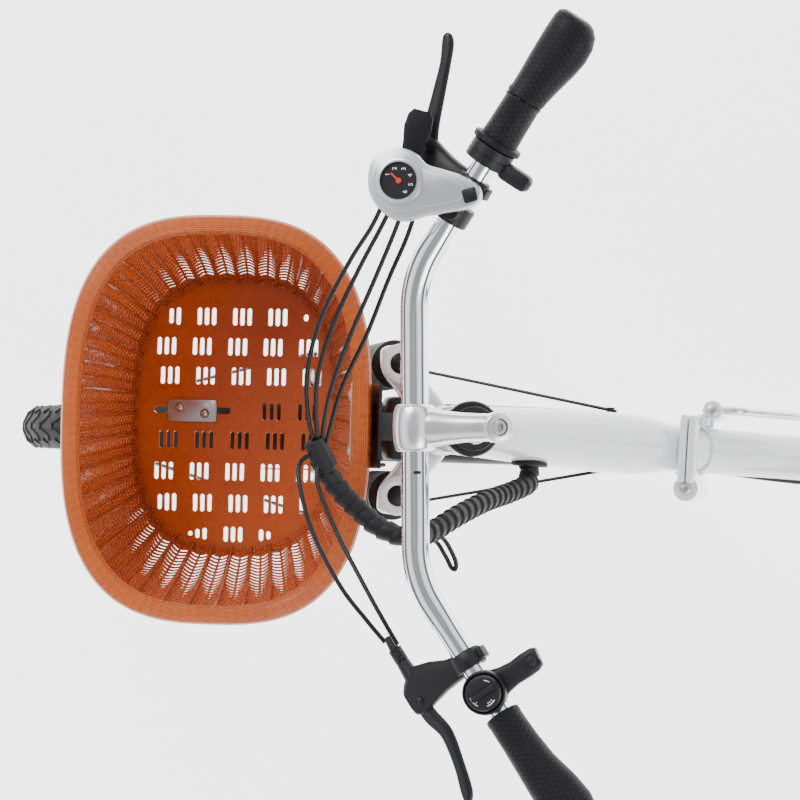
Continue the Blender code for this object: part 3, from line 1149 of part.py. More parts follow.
# ---------------------------------------------------------------- rear stand
def build_stand():
    """A U-shaped stand on the ends of the rear axle: it swings up behind the wheel."""
    stand_axis = pivot("stand_axis", REAR_AXLE)
    bar_radius = 0.006
    reach_ahead = math.sqrt(STAND_REACH**2 - (REAR_AXLE.z - bar_radius) ** 2)
    foot = Vector((REAR_AXLE.x - reach_ahead, 0, bar_radius))
    plates = []
    for side in (-1, 1):
        eye = rod("eye", REAR_AXLE + RIGHT * side * 0.0798, REAR_AXLE + RIGHT * side * 0.0845, 0.0175, sides=12)
        plates.append(eye)
    half_width = 0.125
    line = [REAR_AXLE - RIGHT * 0.0835 - Vector((0.003, 0, 0.0120))]
    line += [REAR_AXLE.lerp(foot, 0.25) - RIGHT * 0.096, REAR_AXLE.lerp(foot, 0.90) - RIGHT * half_width]
    line += [foot - RIGHT * (half_width - 0.012)]
    line += [Vector((p.x, -p.y, p.z)) for p in reversed(line)]
    stand = tube("rear_stand", line, bar_radius, resolution=2)
    combine(stand, plates)
    cut(stand, [rod("bore", REAR_AXLE - RIGHT * 0.1, REAR_AXLE + RIGHT * 0.1, 0.0066, sides=10)])
    finish(stand, BLACK_METAL, stand_axis)


# ---------------------------------------------------------------- assembly
build_wheels()
build_rear_frame()
build_front_frame()
build_latch()
build_fork()
build_fender("front_fender", FRONT_AXLE, -3, 128, suspension_axis, (8, 112), 0.0875)
build_fender("rear_fender", REAR_AXLE, -12, 148, None, (20, 80), 0.0755)
build_stem_and_bar()
build_grips()
build_lever(1, 0.232, 0.052, RIGHT_BLADE)
build_lever(-1, 0.222, 0.058, LEFT_BLADE)
build_shifter()
build_switch()
build_harness()
build_basket()
build_seat()
build_cranks()
build_pedals()
build_chain()
build_derailleur()
build_freewheel()
build_rear_brake()
build_stand()

steering_axis.rotation_quaternion = Quaternion(UP_AXIS, STEER_AT_REST)
cockpit_axis.rotation_quaternion = Quaternion(UP_AXIS, BAR_TWIST)
bpy.context.view_layer.update()
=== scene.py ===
"""The look of the folding electric bicycle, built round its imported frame. Metres, +Z up, heading -X."""

import math

import bmesh
import bpy
from mathutils import Matrix, Quaternion, Vector


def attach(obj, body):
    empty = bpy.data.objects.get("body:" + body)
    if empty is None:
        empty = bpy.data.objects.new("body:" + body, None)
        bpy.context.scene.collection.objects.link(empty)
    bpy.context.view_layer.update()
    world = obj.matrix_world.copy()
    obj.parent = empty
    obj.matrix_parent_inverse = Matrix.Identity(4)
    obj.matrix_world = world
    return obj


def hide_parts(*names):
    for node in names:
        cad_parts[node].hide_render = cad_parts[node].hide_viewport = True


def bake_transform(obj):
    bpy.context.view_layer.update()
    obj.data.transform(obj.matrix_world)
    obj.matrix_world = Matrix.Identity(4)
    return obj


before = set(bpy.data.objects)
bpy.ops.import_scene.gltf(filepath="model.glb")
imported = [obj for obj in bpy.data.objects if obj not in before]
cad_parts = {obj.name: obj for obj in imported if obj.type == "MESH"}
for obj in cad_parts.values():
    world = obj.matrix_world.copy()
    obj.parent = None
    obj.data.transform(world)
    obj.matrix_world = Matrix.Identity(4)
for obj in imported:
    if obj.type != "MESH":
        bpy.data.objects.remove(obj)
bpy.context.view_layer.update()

# ---------------------------------------------------------------- layout, as the frame has it
HEAD = math.radians(70)
UP_AXIS = Vector((math.cos(HEAD), 0, math.sin(HEAD)))
AHEAD = Vector((-math.sin(HEAD), 0, math.cos(HEAD)))
RIGHT = Vector((0, 1, 0))
Z = Vector((0, 0, 1))
FRONT_AXLE = Vector((-0.550, 0, 0.335))
REAR_AXLE = Vector((0.550, 0, 0.355))
AXIS_FOOT = FRONT_AXLE + Vector((0.045 / math.sin(HEAD), 0, 0))
CROWN = AXIS_FOOT + UP_AXIS * ((0.785 - AXIS_FOOT.z) / UP_AXIS.z)
BAR_HEIGHT = 1.070
STEM_TOP = CROWN + UP_AXIS * ((BAR_HEIGHT - CROWN.z) / UP_AXIS.z)
CRANK = Vector((0.105, 0, 0.300))
CRANK_LENGTH = 0.165
CHAIN_LINE = 0.052
SEAT_DIRECTION = Vector((math.cos(math.radians(72)), 0, math.sin(math.radians(72))))
WHEEL_RADIUS = 0.335
TYRE_MIDDLE = WHEEL_RADIUS - 0.025
TYRE_HALF = 0.0235
HINGE = Vector((-0.100, -0.041, 0.620))
LATCH = Vector((-0.080, 0.040, HINGE.z))


def turned_about_steering(degrees):
    turn = Quaternion(UP_AXIS, math.radians(degrees)).to_matrix().to_4x4()
    return Matrix.Translation(CROWN) @ turn @ Matrix.Translation(-CROWN)


FIXED = Matrix.Identity(4)
STEER = turned_about_steering(2.3)
COCKPIT = turned_about_steering(4.0)


def on_axis(along, ahead=0.0, side=0.0):
    return CROWN + UP_AXIS * along + AHEAD * ahead + RIGHT * side


def on_seat(along, side=0.0):
    return CRANK + SEAT_DIRECTION * along + RIGHT * side


# ---------------------------------------------------------------- materials
class Nodes:
    """Short names for adding shader nodes to one material."""

    def __init__(self, name):
        self.material = bpy.data.materials.new(name)
        self.material.use_nodes = True
        self.tree = self.material.node_tree
        self.shader = self.tree.nodes["Principled BSDF"]
        self.place = self.add("ShaderNodeTexCoord").outputs["Object"]
        self.uv = self.add("ShaderNodeUVMap").outputs["UV"]

    def add(self, kind, **settings):
        node = self.tree.nodes.new(kind)
        for key, value in settings.items():
            setattr(node, key, value)
        return node

    def link(self, value, socket):
        if isinstance(value, (int, float)):
            socket.default_value = value
        elif isinstance(value, tuple):
            socket.default_value = (*value, 1) if len(value) == 3 and socket.type == "RGBA" else value
        else:
            self.tree.links.new(value, socket)

    def maths(self, operation, first, second=0.0):
        node = self.add("ShaderNodeMath", operation=operation)
        self.link(first, node.inputs[0])
        self.link(second, node.inputs[1])
        return node.outputs[0]

    def stretch(self, vector, scale):
        node = self.add("ShaderNodeMapping")
        self.link(vector, node.inputs["Vector"])
        node.inputs["Scale"].default_value = scale
        return node.outputs["Vector"]

    def noise(self, vector, scale, detail=4.0, rough=0.55):
        node = self.add("ShaderNodeTexNoise")
        self.link(vector, node.inputs["Vector"])
        node.inputs["Scale"].default_value = scale
        node.inputs["Detail"].default_value = detail
        node.inputs["Roughness"].default_value = rough
        return node.outputs["Fac"]

    def ranged(self, value, low, high, start=0.3, stop=0.7):
        node = self.add("ShaderNodeMapRange")
        self.link(value, node.inputs["Value"])
        node.inputs["From Min"].default_value = start
        node.inputs["From Max"].default_value = stop
        node.inputs["To Min"].default_value = low
        node.inputs["To Max"].default_value = high
        return node.outputs["Result"]

    def mixed(self, factor, first, second):
        node = self.add("ShaderNodeMix", data_type="RGBA")
        self.link(factor, node.inputs["Factor"])
        self.link(first, node.inputs[6])
        self.link(second, node.inputs[7])
        return node.outputs[2]

    def axes(self, vector):
        node = self.add("ShaderNodeSeparateXYZ")
        self.link(vector, node.inputs[0])
        return node.outputs

    def wave(self, value, period):
        """A smooth 0 to 1 wave along a length in metres."""
        angle = self.maths("MULTIPLY", value, math.tau / period)
        return self.maths("ADD", self.maths("MULTIPLY", self.maths("SINE", angle), 0.5), 0.5)

    def bump(self, height, distance, strength=1.0, normal=None):
        node = self.add("ShaderNodeBump")
        node.inputs["Strength"].default_value = strength
        node.inputs["Distance"].default_value = distance
        self.link(height, node.inputs["Height"])
        if normal is not None:
            self.link(normal, node.inputs["Normal"])
        return node.outputs["Normal"]

    def set(self, **values):
        names = {"colour": "Base Color", "rough": "Roughness", "metal": "Metallic", "normal": "Normal",
                 "coat": "Coat Weight", "coat_rough": "Coat Roughness", "specular": "Specular IOR Level",
                 "subsurface": "Subsurface Weight"}
        for key, value in values.items():
            self.link(value, self.shader.inputs[names[key]])
        return self.material


def worn(name, colour, other, rough, metal=0.0, scale=9.0, grain=900.0, depth=0.00003, coat=0.0, specular=0.5,
         stretch=(1, 1, 1)):
    """A surface with slow changes of colour and gloss and a fine grain."""
    n = Nodes(name)
    slow = n.noise(n.place, scale)
    fine = n.noise(n.stretch(n.place, stretch), grain, 2.0)
    colour = n.mixed(n.ranged(slow, 0.0, 1.0), colour, other)
    gloss = n.ranged(n.noise(n.place, scale * 4.3, 6.0), rough[0], rough[1])
    return n.set(colour=colour, rough=gloss, metal=metal, coat=coat, specular=specular,
                 normal=n.bump(fine, depth))


WHITE = worn("white_paint", (0.83, 0.84, 0.86), (0.78, 0.79, 0.81), (0.16, 0.24), coat=0.6, grain=260,
             depth=0.000012)
CHROME = worn("chrome", (0.86, 0.87, 0.89), (0.80, 0.81, 0.83), (0.035, 0.075), metal=1.0, grain=500,
              depth=0.000004)
ALLOY = worn("satin_alloy", (0.86, 0.86, 0.87), (0.78, 0.78, 0.80), (0.20, 0.30), metal=0.85, grain=1400,
             depth=0.00001)
SILVER = worn("silver_paint", (0.62, 0.63, 0.65), (0.55, 0.56, 0.58), (0.24, 0.34), metal=0.75, grain=1700,
              depth=0.000015)
STEEL = worn("brushed_steel", (0.62, 0.61, 0.60), (0.50, 0.49, 0.48), (0.24, 0.38), metal=1.0, grain=700,
             depth=0.00002, stretch=(1, 8, 1))
BLACK_METAL = worn("black_paint", (0.006, 0.006, 0.007), (0.010, 0.010, 0.011), (0.24, 0.36), coat=0.15,
                   specular=0.3,
                   grain=900)
PLASTIC = worn("black_plastic", (0.006, 0.006, 0.007), (0.010, 0.010, 0.011), (0.36, 0.50), specular=0.3,
               grain=2200,
               depth=0.00004)
RUBBER = worn("rubber", (0.005, 0.005, 0.006), (0.009, 0.009, 0.010), (0.45, 0.62), specular=0.3, grain=1500,
              depth=0.00006)
TYRE = worn("tyre_rubber", (0.006, 0.006, 0.006), (0.011, 0.010, 0.010), (0.60, 0.78), specular=0.3,
            grain=900, depth=0.0001)
CABLE = worn("cable_sheath", (0.004, 0.004, 0.005), (0.007, 0.007, 0.008), (0.28, 0.40), specular=0.3,
             grain=1800, depth=0.00002)
RED = worn("red_pointer", (0.60, 0.02, 0.01), (0.50, 0.02, 0.01), (0.35, 0.45))
PRINT = worn("white_print", (0.80, 0.82, 0.82), (0.70, 0.72, 0.72), (0.45, 0.55))
LENS = worn("lamp_lens", (0.75, 0.77, 0.78), (0.65, 0.67, 0.68), (0.08, 0.14), coat=0.8)


def orange_material(name, kind):
    """Glossy orange-brown plastic moulded as a fine weave, with painted shade in the low parts of the weave.
    """
    n = Nodes(name)
    u, v, _ = n.axes(n.uv)
    slow = n.noise(n.place, 14.0)
    colour = n.mixed(n.ranged(slow, 0.0, 1.0), (0.56, 0.112, 0.012), (0.46, 0.082, 0.008))
    if kind == "rim":
        height = n.wave(v, 0.0021)
        cross = n.wave(u, 0.0090)
        height = n.maths("ADD", height, n.maths("MULTIPLY", cross, 0.25))
        depth = 0.0006
    elif kind == "band":
        over = n.wave(u, 0.0048)
        under = n.wave(v, 0.0026)
        height = n.maths("ADD", n.maths("MULTIPLY", over, 0.45), under)
        depth = 0.0005
    elif kind == "floor":
        height = n.noise(n.place, 120.0)
        depth = 0.0002
    else:
        height = n.maths("MULTIPLY", n.wave(u, 0.0034), n.wave(v, 0.0019))
        depth = 0.0004
    # Painted shade: the colour turns darker brown where the moulded height is low, in the weave's grooves and
    # the dips of the floor's noise.
    painted_groove_shade = n.mixed(n.ranged(height, 0.0, 1.0, 0.0, 0.45), (0.34, 0.050, 0.005), colour)
    gloss = n.ranged(n.noise(n.place, 60.0), 0.22, 0.36)
    return n.set(colour=painted_groove_shade, rough=gloss, coat=0.15, specular=0.4, subsurface=0.03,
                 normal=n.bump(height, depth))


ORANGE_RIM = orange_material("basket_rim", "rim")
ORANGE_BAND = orange_material("basket_band", "band")
ORANGE_FLOOR = orange_material("basket_floor", "floor")
ORANGE_RIB = orange_material("basket_rib", "rib")


def grip_material(name, period_u, period_v, depth):
    """Black rubber with a moulded diamond pattern and painted shade in its grooves."""
    n = Nodes(name)
    u, v, _ = n.axes(n.uv)
    first = n.wave(n.maths("ADD", u, v), period_u)
    second = n.wave(n.maths("SUBTRACT", u, v), period_v)
    height = n.maths("MINIMUM", n.ranged(first, 0.0, 1.0, 0.12, 0.30), n.ranged(second, 0.0, 1.0, 0.12, 0.30))
    fine = n.noise(n.place, 2000.0)
    # Painted shade: the grooves between the diamonds are coloured darker than the raised diamonds.
    colour = n.mixed(height, (0.004, 0.004, 0.005), (0.008, 0.008, 0.009))
    lower = n.bump(fine, 0.00004)
    return n.set(colour=colour, rough=n.ranged(n.noise(n.place, 40.0), 0.42, 0.60), specular=0.2,
                 normal=n.bump(height, depth, 1.0, lower))


GRIP = grip_material("grip_diamonds", 0.0052, 0.0052, 0.0003)
FINE_GRIP = grip_material("fine_grip", 0.0028, 0.0028, 0.0003)


def vinyl_material():
    n = Nodes("saddle_vinyl")
    cells = n.add("ShaderNodeTexVoronoi")
    n.link(n.place, cells.inputs["Vector"])
    cells.inputs["Scale"].default_value = 420.0
    height = cells.outputs["Distance"]
    colour = n.mixed(n.ranged(n.noise(n.place, 20.0), 0.0, 1.0), (0.018, 0.017, 0.016), (0.030, 0.028, 0.027))
    return n.set(colour=colour, rough=n.ranged(n.noise(n.place, 30.0), 0.42, 0.58),
                 normal=n.bump(height, 0.0002))


VINYL = vinyl_material()


# ---------------------------------------------------------------- shape helpers
def oval(centre, across, up, half_across, half_up, count=24, power=2.0):
    ring = []
    for i in range(count):
        angle = math.tau * i / count
        c, s = math.cos(angle), math.sin(angle)
        x = math.copysign(abs(c) ** (2 / power), c) * half_across
        y = math.copysign(abs(s) ** (2 / power), s) * half_up
        ring.append(Vector(centre) + Vector(across) * x + Vector(up) * y)
    return ring


def curve_through(points, steps=8):
    """Points along a Catmull-Rom curve through the given ones."""
    knots = [Vector(p) for p in points]
    knots = [knots[0] * 2 - knots[1]] + knots + [knots[-1] * 2 - knots[-2]]
    path = []
    for a, b, c, d in zip(knots, knots[1:], knots[2:], knots[3:]):
        for step in range(steps):
            t = step / steps
            path.append(0.5 * (2 * b + (c - a) * t + (2 * a - 5 * b + 4 * c - d) * t**2
                               + (3 * b - a - 3 * c + d) * t**3))
    path.append(knots[-2])
    return path


def frames_along(path, closed=False):
    """A (point, across, up) for each point of a path, twisting as little as possible."""
    frames = []
    across = None
    count = len(path)
    for i, point in enumerate(path):
        if closed:
            tangent = (path[(i + 1) % count] - path[i - 1]).normalized()
        else:
            tangent = (path[min(i + 1, count - 1)] - path[max(i - 1, 0)]).normalized()
        if across is None:
            across = tangent.orthogonal().normalized()
        across = (across - tangent * across.dot(tangent)).normalized()
        frames.append((point, across, tangent.cross(across)))
    return frames


def mirrored(*half):
    """A profile of (radius, height) points followed by its mirror image below height 0."""
    return [*half, *((radius, -height) for radius, height in reversed(half) if height)]


class Shape:
    """Collects closed skins into one mesh."""

    def __init__(self):
        self.points, self.faces, self.uvs, self.slots = [], [], [], []

    def rings(self, rings, slot=0, loop=False, cap=True):
        base, count, total = len(self.points), len(rings[0]), len(rings)
        self.points += [Vector(p) for ring in rings for p in ring]
        middle = rings[total // 2]
        us = [0.0]
        for i in range(count):
            us.append(us[-1] + (Vector(middle[(i + 1) % count]) - Vector(middle[i])).length)
        vs = [0.0]
        for k in range(total):
            a, b = rings[k], rings[(k + 1) % total]
            picks = range(0, count, max(1, count // 4))
            vs.append(vs[-1] + sum((Vector(b[i]) - Vector(a[i])).length for i in picks) / len(picks))
        for k in range(total if loop else total - 1):
            low, high = base + k * count, base + ((k + 1) % total) * count
            for i in range(count):
                j = (i + 1) % count
                self.faces.append((low + i, low + j, high + j, high + i))
                self.uvs.append(((us[i], vs[k]), (us[i + 1], vs[k]), (us[i + 1], vs[k + 1]),
                                 (us[i], vs[k + 1])))
                self.slots.append(slot)
        if cap and not loop:
            for start, order in ((base, -1), (base + (total - 1) * count, 1)):
                face = tuple(range(start, start + count))[::order]
                self.faces.append(face)
                self.uvs.append(tuple((self.points[i].x, self.points[i].y) for i in face))
                self.slots.append(slot)
        return self

    def tube(self, path, radius, sides=12, slot=0, closed=False, flat=1.0):
        radii = radius if isinstance(radius, list) else [radius] * len(path)
        rings = [oval(p, a, b, r, r * flat, sides) for (p, a, b), r in zip(frames_along(path, closed), radii)]
        return self.rings(rings, slot, loop=closed)

    def rod(self, start, end, radius, end_radius=None, sides=24, slot=0, bevel=0.0006):
        start, end = Vector(start), Vector(end)
        direction = (end - start).normalized()
        end_radius = radius if end_radius is None else end_radius
        bevel = min(bevel, radius * 0.4, end_radius * 0.4, (end - start).length * 0.3)
        path = [start, start + direction * bevel, end - direction * bevel, end]
        across = direction.orthogonal().normalized()
        up = direction.cross(across)
        radii = [radius - bevel, radius, end_radius, end_radius - bevel]
        return self.rings([oval(p, across, up, r, r, sides) for p, r in zip(path, radii)], slot)

    def turned(self, profile, centre, axis=(0, 1, 0), steps=96, slot=0, wobble=None):
        """A solid of revolution of (radius, height) points; it closes on itself unless it meets the axis."""
        axis = Vector(axis).normalized()
        across = axis.orthogonal().normalized()
        up = axis.cross(across)
        hollow = min(r for r, _ in profile) > 0.0001
        rings = []
        for r, h in profile:
            ring = []
            for i in range(steps):
                angle = math.tau * i / steps
                reach = max(r, 0.00005) * (wobble(angle, r) if wobble else 1.0)
                out = across * math.cos(angle) + up * math.sin(angle)
                ring.append(Vector(centre) + axis * h + out * reach)
            rings.append(ring)
        return self.rings(rings, slot, loop=hollow)

    def block(self, centre, size, turn=None, bevel=0.001, slot=0, power=8.0, count=32):
        turn = turn or Quaternion()
        x, y, z = (turn @ Vector(a) for a in ((1, 0, 0), (0, 1, 0), (0, 0, 1)))
        w, d, h = (s / 2 for s in size)
        bevel = min(bevel, w * 0.8, d * 0.8, h * 0.8)
        levels = ((-h, bevel), (-h + bevel * 0.3, bevel * 0.3), (-h + bevel, 0), (h - bevel, 0),
                  (h - bevel * 0.3, bevel * 0.3), (h, bevel))
        rings = [oval(Vector(centre) + z * at, x, y, w - inset, d - inset, count, power) for at,
                 inset in levels]
        return self.rings(rings, slot)

    def prism(self, outline, low, high, bevel=0.0008, slot=0):
        """An upright slab with rounded edges over an outline of (x, y) points."""
        count = len(outline)
        flat = [Vector((x, y)) for x, y in outline]
        area = sum(a.x * b.y - b.x * a.y for a, b in zip(flat, flat[1:] + flat[:1]))
        normals = []
        for i in range(count):
            edge = (flat[(i + 1) % count] - flat[i - 1]).normalized()
            normal = Vector((edge.y, -edge.x))
            normals.append(normal if area > 0 else -normal)
        levels = ((low, bevel), (low + bevel * 0.3, bevel * 0.3), (low + bevel, 0), (high - bevel, 0),
                  (high - bevel * 0.3, bevel * 0.3), (high, bevel))
        return self.rings([[Vector((p.x - n.x * inset, p.y - n.y * inset, z)) for p, n in zip(flat, normals)]
                           for z, inset in levels], slot)

    def build(self, name, skins, body, place=FIXED, replaces=(), angle=40):
        mesh = bpy.data.meshes.new(name)
        mesh.from_pydata([tuple(place @ p) for p in self.points], [], self.faces)
        layer = mesh.uv_layers.new(name="UVMap")
        flat = [value for face in self.uvs for uv in face for value in uv]
        layer.data.foreach_set("uv", flat)
        for skin in skins if isinstance(skins, (list, tuple)) else [skins]:
            mesh.materials.append(skin)
        mesh.polygons.foreach_set("material_index", self.slots)
        work = bmesh.new()
        work.from_mesh(mesh)
        bmesh.ops.recalc_face_normals(work, faces=work.faces)
        work.to_mesh(mesh)
        work.free()
        mesh.shade_smooth()
        mesh.set_sharp_from_angle(angle=math.radians(angle))
        obj = bpy.data.objects.new(name, mesh)
        bpy.context.scene.collection.objects.link(obj)
        if body:
            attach(obj, body)
        if replaces:
            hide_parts(*replaces)
        return obj


def smooth_outline(points, steps=6):
    """A closed curve through (x, y) points."""
    knots = [Vector((x, y, 0)) for x, y in points]
    count = len(knots)
    path = []
    for i in range(count):
        a, b, c, d = knots[i - 1], knots[i], knots[(i + 1) % count], knots[(i + 2) % count]
        for step in range(steps):
            t = step / steps
            square = (2 * a - 5 * b + 4 * c - d) * t**2
            cube = (3 * b - a - 3 * c + d) * t**3
            p = 0.5 * (2 * b + (c - a) * t + square + cube)
            path.append((p.x, p.y))
    return path


def spaced_along(loop, count):
    """Evenly spaced points along a closed loop."""
    lengths = [0.0]
    for a, b in zip(loop, loop[1:] + loop[:1]):
        lengths.append(lengths[-1] + (b - a).length)
    spaced, k = [], 0
    for i in range(count):
        want = lengths[-1] * i / count
        while lengths[k + 1] < want:
            k += 1
        t = (want - lengths[k]) / max(lengths[k + 1] - lengths[k], 1e-9)
        spaced.append(loop[k].lerp(loop[(k + 1) % len(loop)], t))
    return spaced


def wavy_washer(shape, centre, outer, inner, steps, half_outer=0.0009, half_inner=0.0009):
    """A thin ring across RIGHT; outer and inner give the radius at an angle."""
    angles = [math.tau * i / steps for i in range(steps)]
    shape.rings([[centre + Vector((edge(a) * math.cos(a), y, edge(a) * math.sin(a))) for a in angles]
                 for edge, y in ((outer, -half_outer), (outer, half_outer), (inner, half_inner),
                                 (inner, -half_inner))], loop=True)


def ride_flat(name, data, place, skin, body, smooth=False):
    """Makes one piece from a filled curve or a text."""
    source = bpy.data.objects.new(name + "_source", data)
    bpy.context.scene.collection.objects.link(source)
    bpy.context.view_layer.update()
    mesh = bpy.data.meshes.new_from_object(source.evaluated_get(bpy.context.evaluated_depsgraph_get()))
    bpy.data.objects.remove(source)
    mesh.transform(place)
    mesh.materials.clear()
    mesh.materials.append(skin)
    if smooth:
        mesh.shade_smooth()
        mesh.set_sharp_from_angle(angle=math.radians(40))
    obj = bpy.data.objects.new(name, mesh)
    bpy.context.scene.collection.objects.link(obj)
    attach(obj, body)


def repaint(node, skin):
    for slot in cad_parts[node].material_slots:
        slot.material = skin


# ---------------------------------------------------------------- basket
BASKET_FLOOR = 0.770
BASKET_HEIGHT = 0.222
RIM_TILT = 0.068
SQUARENESS = 2.8
PLEATS = 40
RIBS = 24
SLOT_PITCH = 0.0074
SLOT_HALF_WIDTH = 0.0024
SLOT_COLUMNS = (-0.6187, -0.5821, -0.5455, -0.5092, -0.4728, -0.4370)
SLOT_ROWS = (0.1386, 0.1102, 0.0800, 0.0505, 0.0157, -0.0140, -0.0455, -0.0770, -0.1080)
STEEL_ROW = 4


def basket_outline(height, inset=0.0, pleat=0.0, count=PLEATS * 8, lift=0.0):
    """The basket's outline at a share of its height; pleat pushes it in between the ribs."""
    bulge = 0.010 * math.sin(math.pi * min(height, 1.0))
    centre_x = -0.547 + 0.033 * height
    centre_y = 0.012 - 0.009 * height
    half_x = 0.1045 + 0.0420 * height + bulge * 0.5 - inset
    half_y = 0.1370 + 0.0545 * height + bulge - inset
    dense = []
    for i in range(720):
        angle = math.tau * i / 720
        c, s = math.cos(angle), math.sin(angle)
        dense.append(Vector((math.copysign(abs(c) ** (2 / SQUARENESS), c) * half_x,
                             math.copysign(abs(s) ** (2 / SQUARENESS), s) * half_y, 0)))
    ring = []
    for i, flat in enumerate(spaced_along(dense, count)):
        phase = i * PLEATS / count % 1.0
        scale = 1 - pleat * (1 - abs(math.sin(math.pi * phase))) / max(flat.length, 0.01)
        point = Vector((centre_x + flat.x * scale, centre_y + flat.y * scale,
                        BASKET_FLOOR + BASKET_HEIGHT * height + lift))
        point.z -= flat.x * RIM_TILT * height
        ring.append(point)
    return ring


def pleat_depth(height):
    return 0.0085 * (0.35 + 0.65 * height)


def build_basket_shell():
    shell = Shape()
    rim = [(0.930, 0.0065), (0.930, 0.0020), (0.950, -0.0002), (0.985, -0.0008), (1.004, 0.0020),
           (1.010, 0.0085), (1.004, 0.0150), (0.985, 0.0175), (0.965, 0.0165), (0.955, 0.0130)]
    band = [(0.965, 0.0100), (0.930, 0.0025), (0.880, 0.0000), (0.790, -0.0005), (0.790, 0.0022),
            (0.880, 0.0040), (0.940, 0.0115), (0.970, 0.0150)]
    foot = [(0.050, 0.0000), (0.0, 0.0000), (0.0, 0.0080), (0.0135, 0.0070), (0.0135, 0.0032),
            (0.050, 0.0024)]
    shell.rings([basket_outline(h, inset) for h, inset in rim], 0, loop=True)
    shell.rings([basket_outline(h, inset) for h, inset in band], 1, loop=True)
    outer, inner, half_tall = 0.0004, 0.0024, 0.0025
    for i in range(RIBS):
        h = 0.035 + 0.765 * i / (RIBS - 1)
        section = ((outer, -half_tall), (inner, -half_tall), (inner, half_tall), (outer, half_tall))
        shell.rings([basket_outline(h, inset, pleat_depth(h), PLEATS * 6, lift) for inset, lift in section],
                    2,
                    loop=True)
    levels = [0.0, 0.15, 0.3, 0.45, 0.6, 0.75, 0.84]
    valleys = [basket_outline(h, 0.0014, pleat_depth(h), PLEATS) for h in levels]
    ridges = [basket_outline(h, 0.0014, 0.0, PLEATS * 2) for h in levels]
    for i in range(PLEATS):
        shell.tube([ring[i] for ring in valleys], 0.0022, 6, 2)
    for i in range(PLEATS):
        shell.tube([ring[2 * i + 1] for ring in ridges], 0.0013, 6, 2)
    shell.rings([basket_outline(h, inset) for h, inset in foot], 2, loop=True)
    shell.build("basket_shell", [ORANGE_RIM, ORANGE_BAND, ORANGE_RIB], "steered", STEER, ("basket",))


def on_basket_floor(x, y):
    """Whether a point is far enough inside the floor's edge for a slot."""
    return abs((x + 0.547) / 0.0980) ** SQUARENESS + abs((y - 0.012) / 0.1315) ** SQUARENESS < 0.93


def slot_outline(x, y, radius, half_x, half_y):
    """A round-ended slot; half_x and half_y are how far its end centres lie from its middle."""
    outline = []
    for i in range(12):
        angle = math.tau * (i + 0.5) / 12
        outline.append((x + math.copysign(half_x, math.cos(angle)) + radius * math.cos(angle),
                        y + math.copysign(half_y, math.sin(angle)) + radius * math.sin(angle)))
    return outline


def floor_slots():
    slots = []
    for row, y in enumerate(SLOT_ROWS):
        for column, x in enumerate(SLOT_COLUMNS):
            if row == STEEL_ROW and column < 3:
                continue
            for k in (-1, 0, 1):
                slot_x = x + (0.0042 if row % 2 else 0.0) + k * SLOT_PITCH
                half = 0.0088
                while half > 0.002 and not all(on_basket_floor(slot_x + dx, y + dy)
                                               for dx in (-0.002, 0.002) for dy in (-half, half)):
                    half -= 0.0006
                if half > 0.002:
                    slots.append(slot_outline(slot_x, y, SLOT_HALF_WIDTH, 0.0,
                                              max(half - SLOT_HALF_WIDTH, 0.0)))
    slots.append(slot_outline(-0.5905, SLOT_ROWS[STEEL_ROW], 0.0035, 0.0360, 0.0))
    return slots


def build_basket_floor():
    data = bpy.data.curves.new("basket_floor", "CURVE")
    data.dimensions = "2D"
    data.fill_mode = "BOTH"
    data.extrude = 0.0015
    for loop in [[(p.x, p.y) for p in basket_outline(0.0, 0.0050, 0, 120)], *floor_slots()]:
        spline = data.splines.new("POLY")
        spline.points.add(len(loop) - 1)
        for index, (x, y) in enumerate(loop):
            spline.points[index].co = (x, y, 0, 1)
        spline.use_cyclic_u = True
    ride_flat("basket_floor", data, STEER @ Matrix.Translation((0, 0, BASKET_FLOOR + 0.0016)), ORANGE_FLOOR,
              "steered", smooth=True)


def build_basket_steel():
    """The slotted plate and its screws on the floor, and the mounting plate on the rear wall."""
    steel = Shape()
    steel.block((-0.590, 0.0150, BASKET_FLOOR + 0.0050), (0.050, 0.0225, 0.0016), bevel=0.0006, power=12)
    for x, y in ((-0.603, 0.0185), (-0.577, 0.0125)):
        steel.turned([(0, 0.0028), (0.0022, 0.0026), (0.0042, 0.0012), (0.0048, 0.0), (0, 0.0)],
                     (x, y, BASKET_FLOOR + 0.0058), (0, 0, 1), 24)
        for cross in ((0.0050, 0.0009, 0.0006), (0.0009, 0.0050, 0.0006)):
            steel.block((x, y, BASKET_FLOOR + 0.0086), cross, bevel=0.0002)
    steel.build("basket_floor_steel", STEEL, "steered", STEER, ("basket_floor_plate",))

    wall = Shape()
    up = Vector((0.16, 0, 0.987))
    out = Vector((0.987, 0, -0.16))
    turn = Matrix((out, RIGHT, up)).transposed().to_quaternion()
    wall.block((-0.3985, 0.005, 0.885), (0.0022, 0.088, 0.085), turn, 0.0008, 1, 10)
    wall.block((-0.4010, 0.005, 0.905), (0.0020, 0.074, 0.018), turn, 0.0006, 0, 12)
    for y in (0.031, -0.022):
        wall.turned([(0, 0.0030), (0.0026, 0.0027), (0.0050, 0.0012), (0.0056, 0.0), (0, 0.0)],
                    Vector((-0.4022, y, 0.905)), -out, 24, 0)
    wall.build("basket_wall_mount", [STEEL, ORANGE_BAND], "steered", STEER, ())


# ---------------------------------------------------------------- handlebar and stem
BAR_FORWARD, BAR_SWEEP, BAR_BEND, BAR_CORNER, BAR_RISE = 0.0755, math.radians(34), 0.100, 0.135, 0.12
GRIP_START, GRIP_LENGTH = 0.273, 0.135


